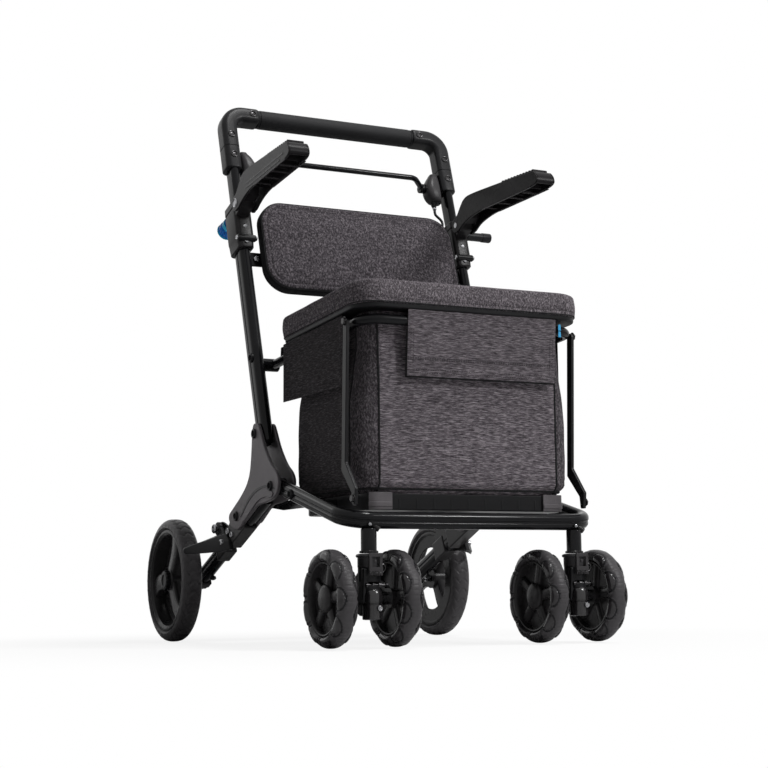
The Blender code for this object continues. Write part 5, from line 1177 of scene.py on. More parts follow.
def flap(name, place, width, height, cloth):
    """A hanging panel: place(u, v, w) turns across, down and outward into a point."""
    bm = bmesh.new()
    columns, rows = 70, 46
    back, front = [], []
    for j in range(rows + 1):
        for layer in (back, front):
            layer.append([])
        for i in range(columns + 1):
            u, v = width * (i / columns - 0.5), height * j / rows
            edge = min(width / 2 - abs(u), height - v)
            rounding = 0.0006 * (smooth(0.0005, 0.004, edge) - 1)
            hem_step = 0.0004 * (1 - smooth(0.010, 0.0125, edge))
            wave = 0.0004 * math.sin(u * 47 + v * 20) * (v / height)
            back[j].append(place(u, v, 0.0004 + wave))
            front[j].append(place(u, v, FLAP_THICK - 0.0010 + wave + hem_step + rounding))
    back, front = [[[bm.verts.new(point) for point in row] for row in layer] for layer in (back, front)]
    for j in range(rows):
        for i in range(columns):
            bm.faces.new((front[j][i], front[j][i + 1], front[j + 1][i + 1], front[j + 1][i]))
            bm.faces.new((back[j][i], back[j + 1][i], back[j + 1][i + 1], back[j][i + 1]))
    border = [(0, i) for i in range(columns)] + [(j, columns) for j in range(rows)]
    border += [(rows, i) for i in range(columns, 0, -1)] + [(j, 0) for j in range(rows, 0, -1)]
    for (j, i), (jj, ii) in zip(border, border[1:] + border[:1]):
        bm.faces.new((back[j][i], back[jj][ii], front[jj][ii], front[j][i])).material_index = 1
    panel = fit(name, bm, cloth, "seat", "grey_fabric", name, crease=50)
    panel.data.materials.append(binding)
    return panel


def sew_hem(name, place, width, height, top, insets, normal):
    """Rows of stitches down one side of a flap, along its foot and up the other side."""
    for number, inset in enumerate(insets):
        left, right_end, foot = inset - width / 2, width / 2 - inset, height - inset
        corners = ((left, top), (left, foot), (right_end, foot), (right_end, top))
        stitches(f"{name}_{number}", [Vector(place(u, v, SEWN)) for u, v in corners], normal, "seat")


def front_place(u, v, w):
    """A point of the front flap."""
    return (FLAP_MIDDLE + u, FLAP_FRONT + 0.0032 - w + FLAP_LEAN * v, FLAP_TOP - v)


front_height = FLAP_TOP - FLAP_FOOT
front = flap("front_flap", front_place, 2 * FLAP_HALF, front_height, flap_cloth)
sew_hem("front_flap_stitches", front_place, 2 * FLAP_HALF, front_height, 0.030, FRONT_HEM, (0, -1, 0))
for number, down in enumerate(FLAP_SEAMS):
    seam = [Vector(front_place(u, down, SEWN)) for u in (-FLAP_HALF + 0.002, FLAP_HALF - 0.002)]
    stitches(f"front_flap_seam_{number}", seam, (0, -1, 0), "seat")
# A dark strip behind the front flap shows below its foot and beyond its left edge: a painted shadow of the
# flap on the bag.
shape = bmesh.new()
shadow_left, shadow_foot = -FLAP_HALF - 0.0018, front_height + 0.0024
for right_end, top in ((FLAP_HALF, front_height - 0.004), (-FLAP_HALF + 0.004, 0.030)):
    corners = ((shadow_left, top), (right_end, top), (right_end, shadow_foot), (shadow_left, shadow_foot))
    bridge(shape, [[front_place(u, v, w) for u, v in corners] for w in (-0.0008, 0.0003)])
fit("front_flap_shadow_strip", shape, binding, "seat", "grey_fabric", edge=0.0002)
side_height = SIDE_TOP - SIDE_FOOT
side_width = SIDE_FLAP_Y[1] - SIDE_FLAP_Y[0]
side_middle = sum(SIDE_FLAP_Y) / 2
for side_name, side in SIDES:

    def side_place(u, v, w):
        """A point of this side's flap."""
        drop = (lid_under(side_middle + u) - RIM_CLEAR - SIDE_FOOT) / side_height
        return (side * (SIDE_FLAP_X + w), side_middle + u, SIDE_FOOT + (side_height - v) * drop)

    # The side flaps take the bag sides' darker cloth: painted shade.
    panel = flap("side_flap_" + side_name, side_place, side_width, side_height, side_shade_cloth)
    sew_hem("side_flap_stitches_" + side_name, side_place, side_width, side_height, 0.010, SIDE_HEM,
            (side, 0, 0))

for down in (0.0, 0.011):
    rings = [[(x, y, z - down) for x, z in PULL_TAB] for y in (-0.3502, -0.3514)]
    skinned(f"pull_tab_{int(down * 1000)}", rings, tab_blue, "seat", "grey_fabric", edge=0.0003)

# Seat lid
# The seat is a board under thick foam, in a boxed cover of heather cloth. Piping runs round the
# foot of its band, and a row of stitches holds the band to the board. It is also the bag's lid.
LID_HALF = 0.202
LID_Y = (-0.356, LID_BACK)
LID_MIDDLE = sum(LID_Y) / 2
LID_TOP = LID_FOOT + 0.0444
BAND_FOOT = LID_FOOT + 0.0080
LID_CORNER = 0.040
LID_CROWN = 0.010
UPRIGHT_YARN = (560.0, 250.0, 330.0)
lid_cloth = heather("lid_cloth", (0.012, 0.010, 0.012), (0.080, 0.070, 0.078), (0.330, 0.298, 0.320),
                    UPRIGHT_YARN)


def lid_frame(inset, count):
    """Points round the seat, in from its edge."""
    return frame_of(LID_HALF - inset, LID_Y[0] + inset, LID_Y[1] - inset, LID_CORNER - inset * 0.6, count)


def lid_ring(inset, z, swell=0.0):
    """Outline of the seat's cover, with sides that pull in between the corners."""
    ring = []
    for k, p in enumerate(lid_frame(inset, 260)):
        share_x, share_y = abs(p.x) / LID_HALF, abs(p.y - LID_MIDDLE) / ((LID_Y[1] - LID_Y[0]) / 2)
        slack = 0.0012 * (1 - min(share_x, share_y) ** 2)
        ripple = 0.0005 * math.sin(k * 0.42) * math.sin(k * 0.083 + z * 90)
        sink = Vector((p.x, p.y - LID_MIDDLE)).normalized() * (slack + ripple - swell)
        ring.append((p.x - sink.x, p.y - sink.y, z))
    return ring


def tilted(points):
    """Points of the level lid, turned about its rear foot edge so that its front rises."""
    turn = Matrix.Rotation(-LID_TILT, 3, "X")
    hinge = Vector((0.0, LID_BACK, LID_FOOT))
    return [hinge + turn @ (Vector(point) - hinge) for point in points]


rings = [lid_ring(0.0200, BAND_FOOT - 0.0006), lid_ring(0.0060, BAND_FOOT - 0.0006),
         lid_ring(0.0022, BAND_FOOT - 0.0002), lid_ring(0.0010, BAND_FOOT + 0.0010)]
for k in range(13):
    share = k / 12
    belly = 0.0007 * math.sin(math.pi * share) - 0.0008 * math.exp(-((share - 0.17) / 0.045) ** 2)
    rings.append(lid_ring(0.0010 - 0.0006 * math.sin(math.pi * share),
                          BAND_FOOT + 0.0018 + (LID_TOP - BAND_FOOT - 0.0085) * share, belly))
rings += [lid_ring(0.0014, LID_TOP - 0.0044), lid_ring(0.0030, LID_TOP - 0.0022),
          lid_ring(0.0060, LID_TOP - 0.0004), lid_ring(0.0100, LID_TOP + 0.0010)]
for k in range(1, 16):
    share = k / 16
    shrink = 1 - share * 0.97
    crown = LID_CROWN * math.sin(math.pi / 2 * min(1.0, share * 1.25)) ** 0.8
    rings.append([(x * shrink, LID_MIDDLE + (y - LID_MIDDLE) * shrink,
                   LID_TOP + 0.0010 + crown * (1 + 0.05 * math.sin(x * 40) * math.sin(y * 37)))
                  for x, y, z in lid_ring(0.0100, 0.0)])
lid = skinned("seat_cushion", [tilted(ring) for ring in rings], lid_cloth, "lid", "grey_fabric", "seat_lid",
              crease=70)
loop = tilted(lid_ring(0.0016, BAND_FOOT + 0.0006))
piping("seat_piping", loop + loop[:2], 0.0010, "lid")
loop = tilted(lid_ring(0.0009, BAND_FOOT + 0.0066))
stitches("seat_stitches", loop + loop[:1],
         lambda p: Vector((p.x, (p.y - LID_MIDDLE) * 1.4, 0)).normalized(), "lid")
rings = []
for inset, z in ((0.0140, LID_FOOT + 0.0002), (0.0050, LID_FOOT + 0.0002), (0.0036, LID_FOOT + 0.0014),
                 (0.0032, BAND_FOOT - 0.0010), (0.0140, BAND_FOOT - 0.0008)):
    rings.append(tilted([(p.x, p.y, z) for p in lid_frame(inset, 200)]))
skinned("seat_board", rings, dark_cap, "lid", "dark_plastic", edge=0.0006)

# Height clamps
# Moulded collars close the uprights around the sliding tubes. Each has a barrel nut and bolts at
# its foot, ears for the armrest at its back, and a blue pull knob.
CLAMP_S = (0.358, 0.452)
CLAMP = (0.032, 0.052)
ARM_PIVOT = Vector((0.0, 0.063, 0.755))
ARM_SPAN = (0.1995, 0.2365)
EAR_S = (0.412, 0.450)
EAR_BACK = 0.019
KNOB_S = 0.433
ARM_CHEEK = 0.006
BARREL_HALF = 0.0165
BARREL_NUT = ((0.0, 0.0052), (0.0012, 0.0062), (0.0318, 0.0062), (0.0330, 0.0052))
CLAMP_BOLT = ((-0.001, 0.0040), (0.0012, 0.0044), (0.0026, 0.0036), (0.0022, 0.0018), (0.0020, 0.0003))
CLAMP_SCREW = ((-0.001, 0.0042), (0.0009, 0.0042), (0.0013, 0.0036), (0.0003, 0.0028), (0.0002, 0.0003))
KNOB_RADIUS = 0.0154
KNOB_LOBES = 12
KNOB_PROFILE = ((0.0, -0.0040, 0.0), (0.0012, -0.0026, 0.0), (0.0120, -0.0024, 0.0),
                (0.0145, -0.0006, 0.0006), (0.0160, 0.0, 0.0008), (0.0290, 0.0, 0.0008),
                (0.0315, -0.0008, 0.0008), (0.0332, -0.0030, 0.0004), (0.0338, -0.0070, 0.0))
KNOB_STEM = ((-0.0040, 0.0055), (0.0, 0.0055))
KNOB_COLLAR = ((0.0020, 0.0136), (0.0026, 0.0142), (0.0100, 0.0142), (0.0108, 0.0136))
KNOB_RING = ((0.0282, 0.0150), (0.0292, 0.0163), (0.0308, 0.0165), (0.0322, 0.0156), (0.0326, 0.0140))
COLLAR_LEVELS = ((CLAMP_S[0], 0.006, 0.007), (CLAMP_S[0] + 0.0015, 0.003, 0.008),
                 (CLAMP_S[0] + 0.0200, 0.001, 0.008), (CLAMP_S[0] + 0.0215, 0.0, 0.008),
                 (CLAMP_S[1] - 0.0180, 0.0, 0.008), (CLAMP_S[1] - 0.0165, 0.0024, 0.008),
                 (CLAMP_S[1] - 0.0150, 0.0024, 0.008), (CLAMP_S[1] - 0.0135, 0.0, 0.008),
                 (CLAMP_S[1] - 0.0020, 0.0006, 0.008), (CLAMP_S[1], 0.004, 0.007))
clamp_plastic = coat("clamp_plastic", (0.018, 0.017, 0.018), 0.30, 0.0, 0.9, 0.30, 0.20)
blue = coat("knob_blue", (0.008, 0.150, 0.560), 0.24, 0.0, 1.5, 0.05, 0.1, 0.05)
# Pale cyan for the knob's rim ring: a painted highlight on the blue knob.
knob_highlight = coat("knob_highlight_cyan", (0.040, 0.520, 0.820), 0.24, 0.0, 1.5, 0.05, 0.1, 0.05)


def soft_box(width, depth, corner, steps=6):
    """Section with four round corners."""
    section = []
    for number, (sx, sy) in enumerate(((1, 1), (-1, 1), (-1, -1), (1, -1))):
        for k in range(steps + 1):
            angle = math.pi / 2 * (number + k / steps)
            section.append((sx * (width / 2 - corner) + corner * math.cos(angle),
                            sy * (depth / 2 - corner) + corner * math.sin(angle)))
    return section


for side_name, side in SIDES:
    rings = [[on_upright(side, s) + Vector((u, 0, 0)) + BACK * v
              for u, v in soft_box(CLAMP[0] - less, CLAMP[1] - less, corner)]
             for s, less, corner in COLLAR_LEVELS]
    skinned("clamp_" + side_name, rings, clamp_plastic, "frame", "dark_plastic", "height_clamp_" + side_name,
            edge=0.0005)
    heel, top = [on_upright(side, s, -EAR_BACK) for s in EAR_S]
    ear = [(heel.y, heel.z), (top.y, top.z), (ARM_PIVOT.y + 0.004, ARM_PIVOT.z + 0.0098),
           (ARM_PIVOT.y - 0.0084, ARM_PIVOT.z + 0.0056), (ARM_PIVOT.y - 0.0084, ARM_PIVOT.z - 0.0084)]
    plated("clamp_ear_" + side_name, ear, side * (ARM_SPAN[0] + ARM_CHEEK + 0.0003),
           side * (ARM_SPAN[1] - ARM_CHEEK - 0.0003), clamp_plastic, "frame", "dark_plastic", edge=0.0012)
    start, end = [on_upright(side, CLAMP_S[0] + 0.016, CLAMP[1] / 2 - 0.001, reach)
                  for reach in (-BARREL_HALF, BARREL_HALF)]
    turned("clamp_barrel_" + side_name, BARREL_NUT, start, (side, 0, 0), 24, shoe_plastic, "frame",
           "dark_plastic")
    for name, place, way in (("outer", end, 1), ("inner", start, -1)):
        turned(f"clamp_bolt_{name}_{side_name}", CLAMP_BOLT, place, (side * way, 0, 0), 20, steel, "frame",
               "dark_plastic")
    for number, s in enumerate((CLAMP_S[0] + 0.0105, CLAMP_S[0] + 0.040)):
        turned(f"clamp_screw_{number}_{side_name}", CLAMP_SCREW, on_upright(side, s, CLAMP[1] / 2), -BACK, 20,
               steel, "frame", "dark_plastic")
    turned("arm_pin_" + side_name, ((-0.0008, 0.0050), (ARM_SPAN[1] - ARM_SPAN[0] + 0.0008, 0.0050)),
           (side * ARM_SPAN[0], ARM_PIVOT.y, ARM_PIVOT.z), (side, 0, 0), 24, steel, "frame", "dark_plastic")
    knob_seat = on_upright(side, KNOB_S, -(CLAMP[1] / 2 + 0.0043))
    rings = []
    for along, grow, lobes in KNOB_PROFILE:
        ring = []
        for k in range(96):
            turn = 2 * math.pi * k / 96
            reach = KNOB_RADIUS + grow - lobes * (1 - abs(math.cos(turn * KNOB_LOBES / 2)) ** 0.5) * 1.6
            ring.append(knob_seat + BACK * along + Vector((reach * math.cos(turn), 0, 0))
                        + UP * (reach * math.sin(turn)))
        rings.append(ring)
    body = "height_knob_" + side_name
    skinned("pull_knob_" + side_name, rings, blue, body, "blue_plastic", body)
    # The knob's end ring, stem and collar are pale cyan: painted highlight on the blue knob's rim.
    shape = bmesh.new()
    for profile, steps in ((KNOB_STEM, 20), (KNOB_COLLAR, 40), (KNOB_RING, 48)):
        turn_about(shape, profile, knob_seat, BACK, steps)
    fit("pull_knob_ring_" + side_name, shape, knob_highlight, body, "blue_plastic")

# Accessory peg
# A round moulded peg sticks out of the right clamp for a cane holder, with a screw in its end and
# a thin stay back to the clamp's foot.
PEG = ((0.0, 0.0090), (0.0040, 0.0090), (0.0046, 0.0082), (0.0100, 0.0080), (0.0340, 0.0080),
       (0.0346, 0.0088), (0.0505, 0.0089), (0.0520, 0.0082))
PEG_SCREW = ((0.0, 0.0034), (-0.0004, 0.0034), (-0.0004, 0.0016), (0.0001, 0.0003))
peg_root = on_upright(1, CLAMP_S[1] - 0.026, CLAMP[1] / 2 - 0.010, CLAMP[0] / 2 + 0.0003)
turned("cane_peg", PEG, peg_root, (1, 0, 0), 32, shoe_plastic, "frame", "dark_plastic",
       stands_for="accessory_peg")
turned("cane_peg_screw", PEG_SCREW, peg_root + Vector((0.0522, 0, 0)), (1, 0, 0), 18, steel, "frame",
       "dark_plastic")

# Armrests
# Glass-filled nylon arms, cranked down to a pin at the clamp. The top is a smooth saddle with
# a few grip ridges near the tip, and the underside is hollow and ribbed.
ARM_TIP = -0.195
ARM_HEEL = 0.030
ARM_SPLAY = 0.012
# A lighter grey for the arm's ribs and lips: painted highlights on the edges of the dark arm.
arm_edge_highlight = coat("arm_edge_highlight", (0.050, 0.048, 0.050), 0.26, 0.0, 1.0, 0.20, 0.20)
arm_plastic = coat("arm_plastic", (0.013, 0.012, 0.013), 0.28, 0.0, 1.0, 0.32, 0.20, gleam=0.06)
EYE = arc_of((ARM_PIVOT.y, ARM_PIVOT.z), 0.014, range(-120, 75, 12))
ARM_BACK = [(0.057, 0.7735), (0.047, 0.786), (0.030, 0.801)]
ARM_CREST = [(0.000, 0.803), (-0.060, 0.8022), (-0.130, 0.8012), (-0.189, 0.800), (-0.195, 0.796)]
ARM_NOSE = [(-0.2015, 0.788), (-0.203, 0.777), (-0.183, 0.772)]
ARM_BELLY = [(-0.100, 0.7685), (-0.020, 0.765), (0.018, 0.758), (0.0375, 0.7508), (0.049, 0.7438)]
ARM_DECK = [(0.034, 0.790), (0.028, 0.8005), *ARM_CREST, *ARM_NOSE[:2], (-0.1935, 0.776), (-0.189, 0.792),
            (0.000, 0.794), (0.020, 0.786)]
ARM_STOP = [(0.030, 0.7640), (0.046, 0.7560), (0.047, 0.7750), (0.036, 0.7870), (0.024, 0.7870)]
ARM_LIP = [(-0.184, 0.7712), (-0.100, 0.7677), (-0.030, 0.7648), (-0.030, 0.7658), (-0.100, 0.7688),
           (-0.184, 0.7724)]
ARM_RIBS = ((0.7800, 0.7822, -0.176, 0.010), (0.7725, 0.7745, -0.160, 0.012))
RIDGE = ((-0.0036, 0.0), (-0.0022, 0.0042), (0.0022, 0.0042), (0.0036, 0.0))
WEB_STEP, RIDGE_STEP, LIP_STEP = 0.026, 0.0092, 0.042
ARM_BOLT = ((0.0, 0.0085), (0.0006, 0.0090), (0.0022, 0.0088), (0.0034, 0.0070), (0.0020, 0.0040),
            (0.0018, 0.0004))
ARM_SCREW = ((-0.0010, 0.0032), (0.0003, 0.0036), (0.0003, 0.0026), (-0.0006, 0.0022), (-0.0006, 0.0003))


def splay(bm, side):
    """Lean what lies before the arm's heel outward, more towards the tip."""
    for vert in bm.verts:
        vert.co.x += side * ARM_SPLAY * max(0.0, ARM_HEEL - vert.co.y) / (ARM_HEEL - ARM_TIP)


def upright_web(bm, y, thick, low, high, inset, side):
    """A thin web across an arm, between its cheeks."""
    sheet_of(bm, [(y, low), (y + thick, low), (y + thick, high), (y, high)],
             side * (ARM_SPAN[0] + inset), side * (ARM_SPAN[1] - inset))


for side_name, side in SIDES:
    body = "armrest_" + side_name
    inner, outer = ARM_SPAN
    shape = bmesh.new()
    profile = eased(EYE + ARM_BACK + ARM_CREST + ARM_NOSE + ARM_BELLY, 0.25)
    for low, high in ((inner, inner + 0.0045), (outer - 0.0045, outer)):
        sheet_of(shape, profile, side * low, side * high)
    sheet_of(shape, eased(ARM_DECK, 0.25), side * (inner + 0.001), side * (outer - 0.001))
    for k in range(8):
        upright_web(shape, -0.170 + WEB_STEP * k, 0.0022, 0.7745, 0.7960, 0.002, side)
    sheet_of(shape, ARM_STOP, side * (inner + 0.0062), side * (outer - 0.0062))
    splay(shape, side)
    fit("arm_" + side_name, shape, arm_plastic, body, "dark_plastic", body, edge=0.0022, segments=3)
    shape = bmesh.new()
    for k in range(11):
        y, z = -0.183 + RIDGE_STEP * k, 0.8000 + 0.00012 * k
        bridge(shape, [[(side * x, y + u, z + v) for u, v in RIDGE]
                       for x in (inner + 0.0040, outer - 0.0040)])
    splay(shape, side)
    fit("arm_ridges_" + side_name, shape, arm_plastic, body, "dark_plastic", edge=0.0009)
    # Ribs on the outer cheek and lips along the lower edges, in the lighter grey: painted highlights on the
    # arm's edges.
    shape = bmesh.new()
    for low, high, y0, y1 in ARM_RIBS:
        sheet_of(shape, [(y0, low + 0.002), (y1, low - 0.004), (y1, high - 0.004), (y0, high + 0.002)],
                 side * (outer - 0.0003), side * (outer + 0.0008))
    splay(shape, side)
    fit("arm_ribs_" + side_name, shape, arm_edge_highlight, body, "dark_plastic", edge=0.0004)
    shape = bmesh.new()
    for low, high in ((inner - 0.0002, inner + 0.0016), (outer - 0.0016, outer + 0.0002)):
        sheet_of(shape, ARM_LIP, side * low, side * high)
    for k in range(4):
        upright_web(shape, -0.156 + LIP_STEP * k, 0.0016, 0.7685, 0.7705, 0.0020, side)
    splay(shape, side)
    fit("arm_lips_" + side_name, shape, arm_edge_highlight, body, "dark_plastic")
    turned("arm_bolt_" + side_name, ARM_BOLT, (side * (outer - 0.0018), ARM_PIVOT.y, ARM_PIVOT.z),
           (side, 0, 0), 28, steel, body, "dark_plastic")
    shape = bmesh.new()
    turn_about(shape, ARM_SCREW, (side * outer, 0.002, 0.785), (side, 0, 0), 20)
    splay(shape, side)
    fit("arm_screw_" + side_name, shape, shoe_plastic, body, "dark_plastic")

# Backrest
# A foam pad in heather cloth, with a dark bound edge at its foot and left end, piping and a row of
# stitches. A flat steel rail behind it is bolted between the uprights.
PAD_HALF = 0.190
PAD_RISE = 0.086
PAD_THICK = 0.028
PAD_CORNER = 0.045
PAD_MIDDLE = 0.361
PAD_FORWARD = 0.024
PAD_STEPS = 200
RAIL_S = 0.342
RAIL_HALF = FRAME_X - TUBE[0] / 2 - 0.0003
RAIL_SECTION = ((-0.013, 0.0), (0.013, 0.0), (0.013, 0.004), (-0.013, 0.004))
PAD_EDGE = ((0.0500, -0.0136), (0.0100, -0.0134), (0.0040, -0.0118), (0.0012, -0.0080), (0.0, -0.0030),
            (0.0, 0.0030), (0.0010, 0.0075), (0.0034, 0.0108), (0.0070, 0.0126), (0.0092, 0.0128),
            (0.0100, 0.0120), (0.0108, 0.0124))
pad_cloth = heather("pad_cloth", (0.012, 0.010, 0.012), (0.052, 0.046, 0.052), (0.230, 0.206, 0.224), SPECKLE)
pad_centre = Vector((0.0, FOOT.y, FOOT.z)) + UP * PAD_MIDDLE - BACK * PAD_FORWARD


def pad_ring(inset, depth, share=1.0):
    """A loop round the pad, in from its edge and ahead of its middle plane, or drawn to the middle."""
    ring = []
    for p in frame_of(PAD_HALF - inset, inset - PAD_RISE, PAD_RISE - inset, max(0.006, PAD_CORNER - inset),
                      PAD_STEPS):
        wrinkle = 0.0004 * math.sin(p.x * 70 + p.y * 30) * share if share < 1.0 else 0.0
        ring.append(pad_centre + Vector((p.x * share, 0, 0)) + UP * (p.y * share) - BACK * (depth + wrinkle))
    return ring


rings = [pad_ring(inset, depth) for inset, depth in PAD_EDGE]
for k in range(1, 16):
    share = 1 - k / 16
    rings.append(pad_ring(0.0105, 0.0126 + 0.0072 * (1 - share ** 2.2), share * 0.995))
pad = skinned("back_pad", rings, pad_cloth, "frame", "grey_fabric", "backrest_pad", crease=75)
pad.data.materials.append(binding)
for face in pad.data.polygons:
    local = face.center - pad_centre
    bound = local.x < -PAD_HALF + 0.020 or local.dot(UP) < -PAD_RISE + 0.012
    if face.index < PAD_STEPS * (7 if bound else 3):
        face.material_index = 1
for name, inset, depth, radius in (("front", 0.0018, 0.0090, 0.0010), ("back", 0.0012, -0.0086, 0.0009)):
    loop = pad_ring(inset, depth)
    piping("pad_piping_" + name, loop + loop[:2], radius, "frame")
loop = pad_ring(0.0128, 0.0136)
stitches("pad_stitches", loop + loop[:1], -BACK, "frame")
rail_depth = PAD_FORWARD - PAD_THICK / 2 - 0.0003
rings = [[Vector((x, FOOT.y, FOOT.z)) + UP * (RAIL_S + rise) - BACK * (rail_depth - depth)
          for rise, depth in RAIL_SECTION] for x in (-RAIL_HALF, RAIL_HALF)]
skinned("back_rail", rings, satin_black, "frame", "painted_frame", "backrest_rail", edge=0.0008)
for side_name, side in SIDES:
    place = Vector((side * (RAIL_HALF - 0.010), FOOT.y, FOOT.z)) + UP * RAIL_S - BACK * rail_depth
    turned("rail_bolt_" + side_name, HEX, place, -BACK, 6, steel, "frame", "painted_frame",
           edge=0.0003, crease=25)

# Sliding tubes and elbows
# Slim oval tubes slide in the uprights. A moulded elbow on each takes the handle across, held by
# two recessed screws in its front face and one beside the grip.
INNER_TUBE = (0.0155, 0.032)
INNER_SPAN = (0.302, 0.558)
ELBOW_FOOT = 0.522
BAR_S = 0.638
ELBOW = (0.030, 0.036, 0.010)
ELBOW_LIP = ((0.93, 0.0), (0.985, 0.0012), (1.0, 0.0030), (1.0, 0.0430), (0.955, 0.0436), (0.955, 0.0452),
             (1.0, 0.0458))
ELBOW_END = ((1.0, 0.004), (0.98, 0.0012), (0.94, 0.0))
ELBOW_SCREW = ((-0.002, 0.0066), (0.0008, 0.0066), (0.0014, 0.0058), (0.0012, 0.0050), (-0.0002, 0.0044),
               (0.0002, 0.0022), (0.0002, 0.0003))
ELBOW_SCREWS_S = (0.590, 0.548)
GRIP_HALF = 0.158
elbow_plastic = coat("elbow_plastic", (0.014, 0.014, 0.015), 0.34, 0.0, 0.9, 0.28, 0.20)


def scaled(ring, factor, shift):
    """The ring drawn in about its middle and moved."""
    middle = sum(ring, Vector()) / len(ring)
    return [middle + (point - middle) * factor + shift for point in ring]


for side_name, side in SIDES:
    rings = [[on_upright(side, s) + Vector((u * side, 0, 0)) + BACK * v for u, v in oval(*INNER_TUBE)]
             for s in INNER_SPAN]
    skinned("sliding_tube_" + side_name, rings, gloss_black, "handle", "painted_frame",
            "inner_tube_" + side_name, edge=0.0004)
    top = on_upright(side, BAR_S)
    inward = Vector((-side, 0, 0))
    path = bent([on_upright(side, ELBOW_FOOT), top, top + inward * (FRAME_X - GRIP_HALF)], 0.030, 17)
    rings = follow(path, soft_box(*ELBOW), BACK)
    lip = (path[1] - path[0]).normalized()
    start = [scaled(rings[0], factor, lip * along) for factor, along in ELBOW_LIP]
    end = [scaled(rings[-1], factor, -inward * back) for factor, back in ELBOW_END]
    skinned("elbow_" + side_name, start + rings[1:-1] + end, elbow_plastic, "handle", "dark_plastic",
            "handle_elbow_" + side_name, crease=40)
    screws = [on_upright(side, s, ELBOW[1] / 2) for s in ELBOW_SCREWS_S]
    screws.append(top + inward * 0.046 - BACK * (ELBOW[1] / 2))
    for number, place in enumerate(screws):
        turned(f"elbow_screw_{number}_{side_name}", ELBOW_SCREW, place, -BACK, 24, pin_metal, "handle",
               "dark_plastic")

# Grip
# A sleeve of soft foam rubber on the cross bar between the elbows, with a moulded ring at each
# end.
foam = coat("grip_foam", (0.013, 0.013, 0.014), 0.56, 0.0, 0.9, 0.75, 0.25)
bar_centre = on_upright(0, BAR_S)
half = GRIP_HALF - 0.0003
grip_profile = [(0.0, 0.0152), (0.0004, 0.0162), (0.0030, 0.0166), (0.0034, 0.0158), (0.0046, 0.0158),
                (0.0052, 0.0167), (0.0080, 0.0170)]
grip_profile += [(2 * half - along, radius) for along, radius in reversed(grip_profile)]
turned("grip_sleeve", grip_profile, (-half, bar_centre.y, bar_centre.z), (1, 0, 0), 48, foam, "handle",
       "soft_grip", stands_for="handle_grip", crease=30)

# Brake housings
# Moulded shells on the inner side of each elbow hold the brake bar's end. The cable leaves the
# foot through a ribbed rubber boot and a steel ferrule.
HOUSING_S = (0.500, 0.560)
HOUSING_X = (0.1707, 0.2007)
HOUSING_DEPTH = 0.034
BRAKE_S = 0.530
BOOT = 0.014
BAR_BUSH = ((-0.001, 0.0098), (0.0, 0.0098), (0.0002, 0.0090))
case_plastic = coat("case_plastic", (0.040, 0.038, 0.040), 0.34, 0.0, 0.9, 0.3, 0.2)
housing_middle = sum(HOUSING_X) / 2
FERRULE = ((0.0095, 0.0034), (0.0120, 0.0036), (0.0136, 0.0034), (0.0140, 0.0029))
BOOT_RIB = ((0.0004, 0.0059), (0.0014, 0.0059), (0.0016, 0.0048), (0.0022, 0.0048))
boot_profile = [(-0.001, 0.0056)]
for k in range(5):
    boot_profile += [(k * 0.0021 + along, radius - k * 0.0005) for along, radius in BOOT_RIB]

for side_name, side in SIDES:
    rings = []
    for k in range(17):
        share = k / 16
        swell = 0.60 + 0.40 * math.sin(math.pi * min(1.0, share / 0.92) ** 0.82) ** 0.8
        if share < 0.5:
            swell *= 0.86 + 0.14 * smooth(0.0, 0.06, share)
        else:
            swell *= 0.84 + 0.16 * smooth(0.0, 0.10, 1 - share)
        wide, deep = swell * 0.0299, swell * HOUSING_DEPTH
        centre = on_upright(side, HOUSING_S[0] + share * (HOUSING_S[1] - HOUSING_S[0]))
        centre.x = side * (HOUSING_X[1] - wide / 2)
        rings.append([centre + Vector((u, 0, 0)) + BACK * v for u, v in soft_box(wide, deep, 0.40 * wide, 8)])
    skinned("brake_case_" + side_name, rings, case_plastic, "handle", "dark_plastic",
            "brake_housing_" + side_name, crease=50)
    foot = on_upright(side, HOUSING_S[0])
    foot.x = side * housing_middle
    turned("cable_boot_" + side_name, boot_profile, foot, -UP, 24, foam, "handle", "soft_grip")
    turned("cable_ferrule_" + side_name, FERRULE, foot, -UP, 24, steel, "handle", "soft_grip")
    bush = on_upright(side, BRAKE_S)
    bush.x = side * (HOUSING_X[0] + 0.0002)
    turned("brake_case_bush_" + side_name, BAR_BUSH, bush, (-side, 0, 0), 28, shoe_plastic, "handle",
           "dark_plastic")

# Brake bar
# One round steel bar runs under the grip and is squeezed with both hands. Its ends slant
# back to a boss at each housing.
ROD = 0.005
ROD_BOSS = ((0.0, 0.0086), (0.0006, 0.0090), (0.0094, 0.0090), (0.0100, 0.0086))
BOSS_X = HOUSING_X[0] - 0.0003
brake_pivot = on_upright(0, BRAKE_S)
bar_line = brake_pivot - BACK * 0.032 + UP * 0.001
corners = [brake_pivot - Vector((BOSS_X - ROD, 0, 0)), bar_line - Vector((BOSS_X - ROD - 0.030, 0, 0)),
           bar_line + Vector((BOSS_X - ROD - 0.030, 0, 0)), brake_pivot + Vector((BOSS_X - ROD, 0, 0))]
shape = bmesh.new()
across_bar = (corners[1] - corners[0]).cross(Vector((1, 0, 0)))
bridge(shape, follow(bent(corners, 0.022), ring_of(ROD), across_bar))
for side in (-1, 1):
    turn_about(shape, ROD_BOSS, brake_pivot + Vector((side * BOSS_X, 0, 0)), (-side, 0, 0), 28)
fit("squeeze_bar", shape, gloss_black, "brake_bar", "painted_frame", "brake_bar", crease=45)

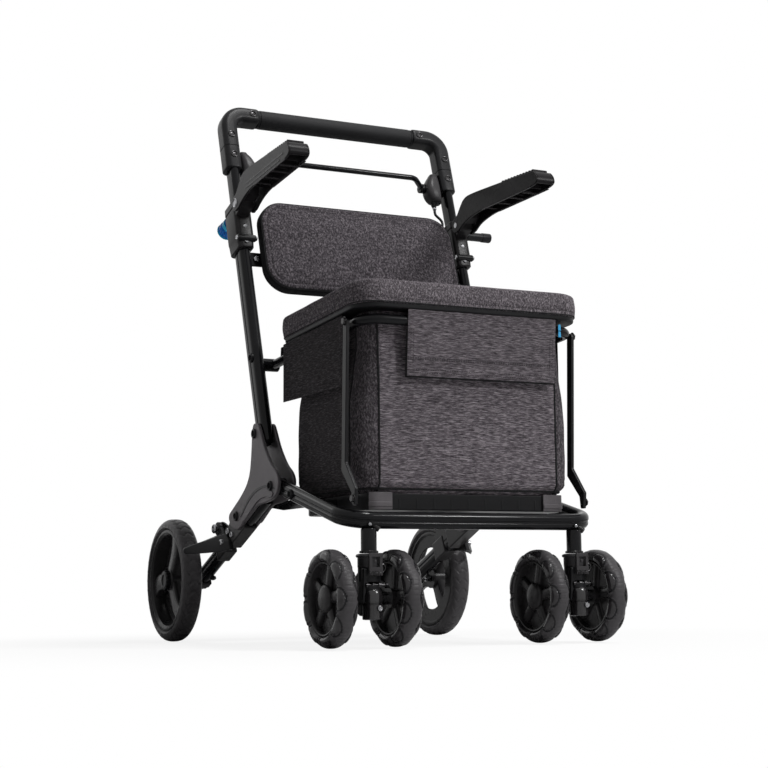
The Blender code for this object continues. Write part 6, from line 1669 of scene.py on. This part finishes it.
# Brake cables
# A sheathed Bowden cable on each side runs from its boot down behind the upright and along the
# leg to the brake shoe. It is held at both ends and clipped on its way.
CABLE = 0.0025
CABLE_ROUTE = ((-0.019, 0.462, 0.000), (-0.0195, 0.445, -0.004), (-0.0195, 0.400, -0.022),
               (-0.020, 0.340, -0.028), (-0.019, 0.260, -0.027), (-0.019, 0.160, -0.027),
               (-0.019, 0.080, -0.028))
LEG_ROUTE = ((-0.019, 0.040, 0.262), (-0.019, 0.085, 0.234), (-0.016, 0.125, 0.216))
ROUTE_STEP = 0.006
CLIP_PLACES = (0.300, 0.120)
CLIP = ((-0.004, 0.0032), (-0.0034, 0.0036), (0.0034, 0.0036), (0.004, 0.0032))
sheath = coat("cable_sheath", (0.020, 0.020, 0.022), 0.36, 0.0, 0.8, 0.1, 0.15)

for side_name, side in SIDES:
    start = on_upright(side, HOUSING_S[0] - BOOT - 0.0006, 0.0, housing_middle - FRAME_X)
    points = [start, start - UP * 0.010]
    points += [on_upright(side, s, ahead, out) for out, s, ahead in CABLE_ROUTE]
    points += [Vector((side * (FRAME_X + out), y, z)) for out, y, z in LEG_ROUTE]
    route = []
    for i in range(len(points) - 1):
        p0, p1, p2, p3 = points[max(i - 1, 0)], points[i], points[i + 1], points[min(i + 2, len(points) - 1)]
        steps = max(2, round((p2 - p1).length / ROUTE_STEP))
        for k in range(steps):
            t = k / steps
            route.append(0.5 * (2 * p1 + (p2 - p0) * t + (2 * p0 - 5 * p1 + 4 * p2 - p3) * t * t
                                + (3 * p1 - p0 - 3 * p2 + p3) * t ** 3))
    route.append(points[-1])
    bm = bmesh.new()
    bridge(bm, cord_rings(route, CABLE, 14))
    bmesh.ops.recalc_face_normals(bm, faces=bm.faces)
    mesh = bpy.data.meshes.new("cable_" + side_name)
    bm.to_mesh(mesh)
    bm.free()
    mesh.materials.append(sheath)
    mesh.shade_smooth()
    cable = bpy.data.objects.new("cable_" + side_name, mesh)
    bpy.context.collection.objects.link(cable)
    low, high = on_upright(side, 0.0, 0.0, -0.019), on_upright(side, 0.40, 0.0, -0.019)
    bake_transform(cable)
    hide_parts("brake_cable_" + side_name)
    for number, s in enumerate(CLIP_PLACES):
        turned(f"cable_clip_{number}_{side_name}", CLIP, on_upright(side, s, -0.0275, -0.0190), UP, 20,
               shoe_plastic, "frame", "dark_plastic")
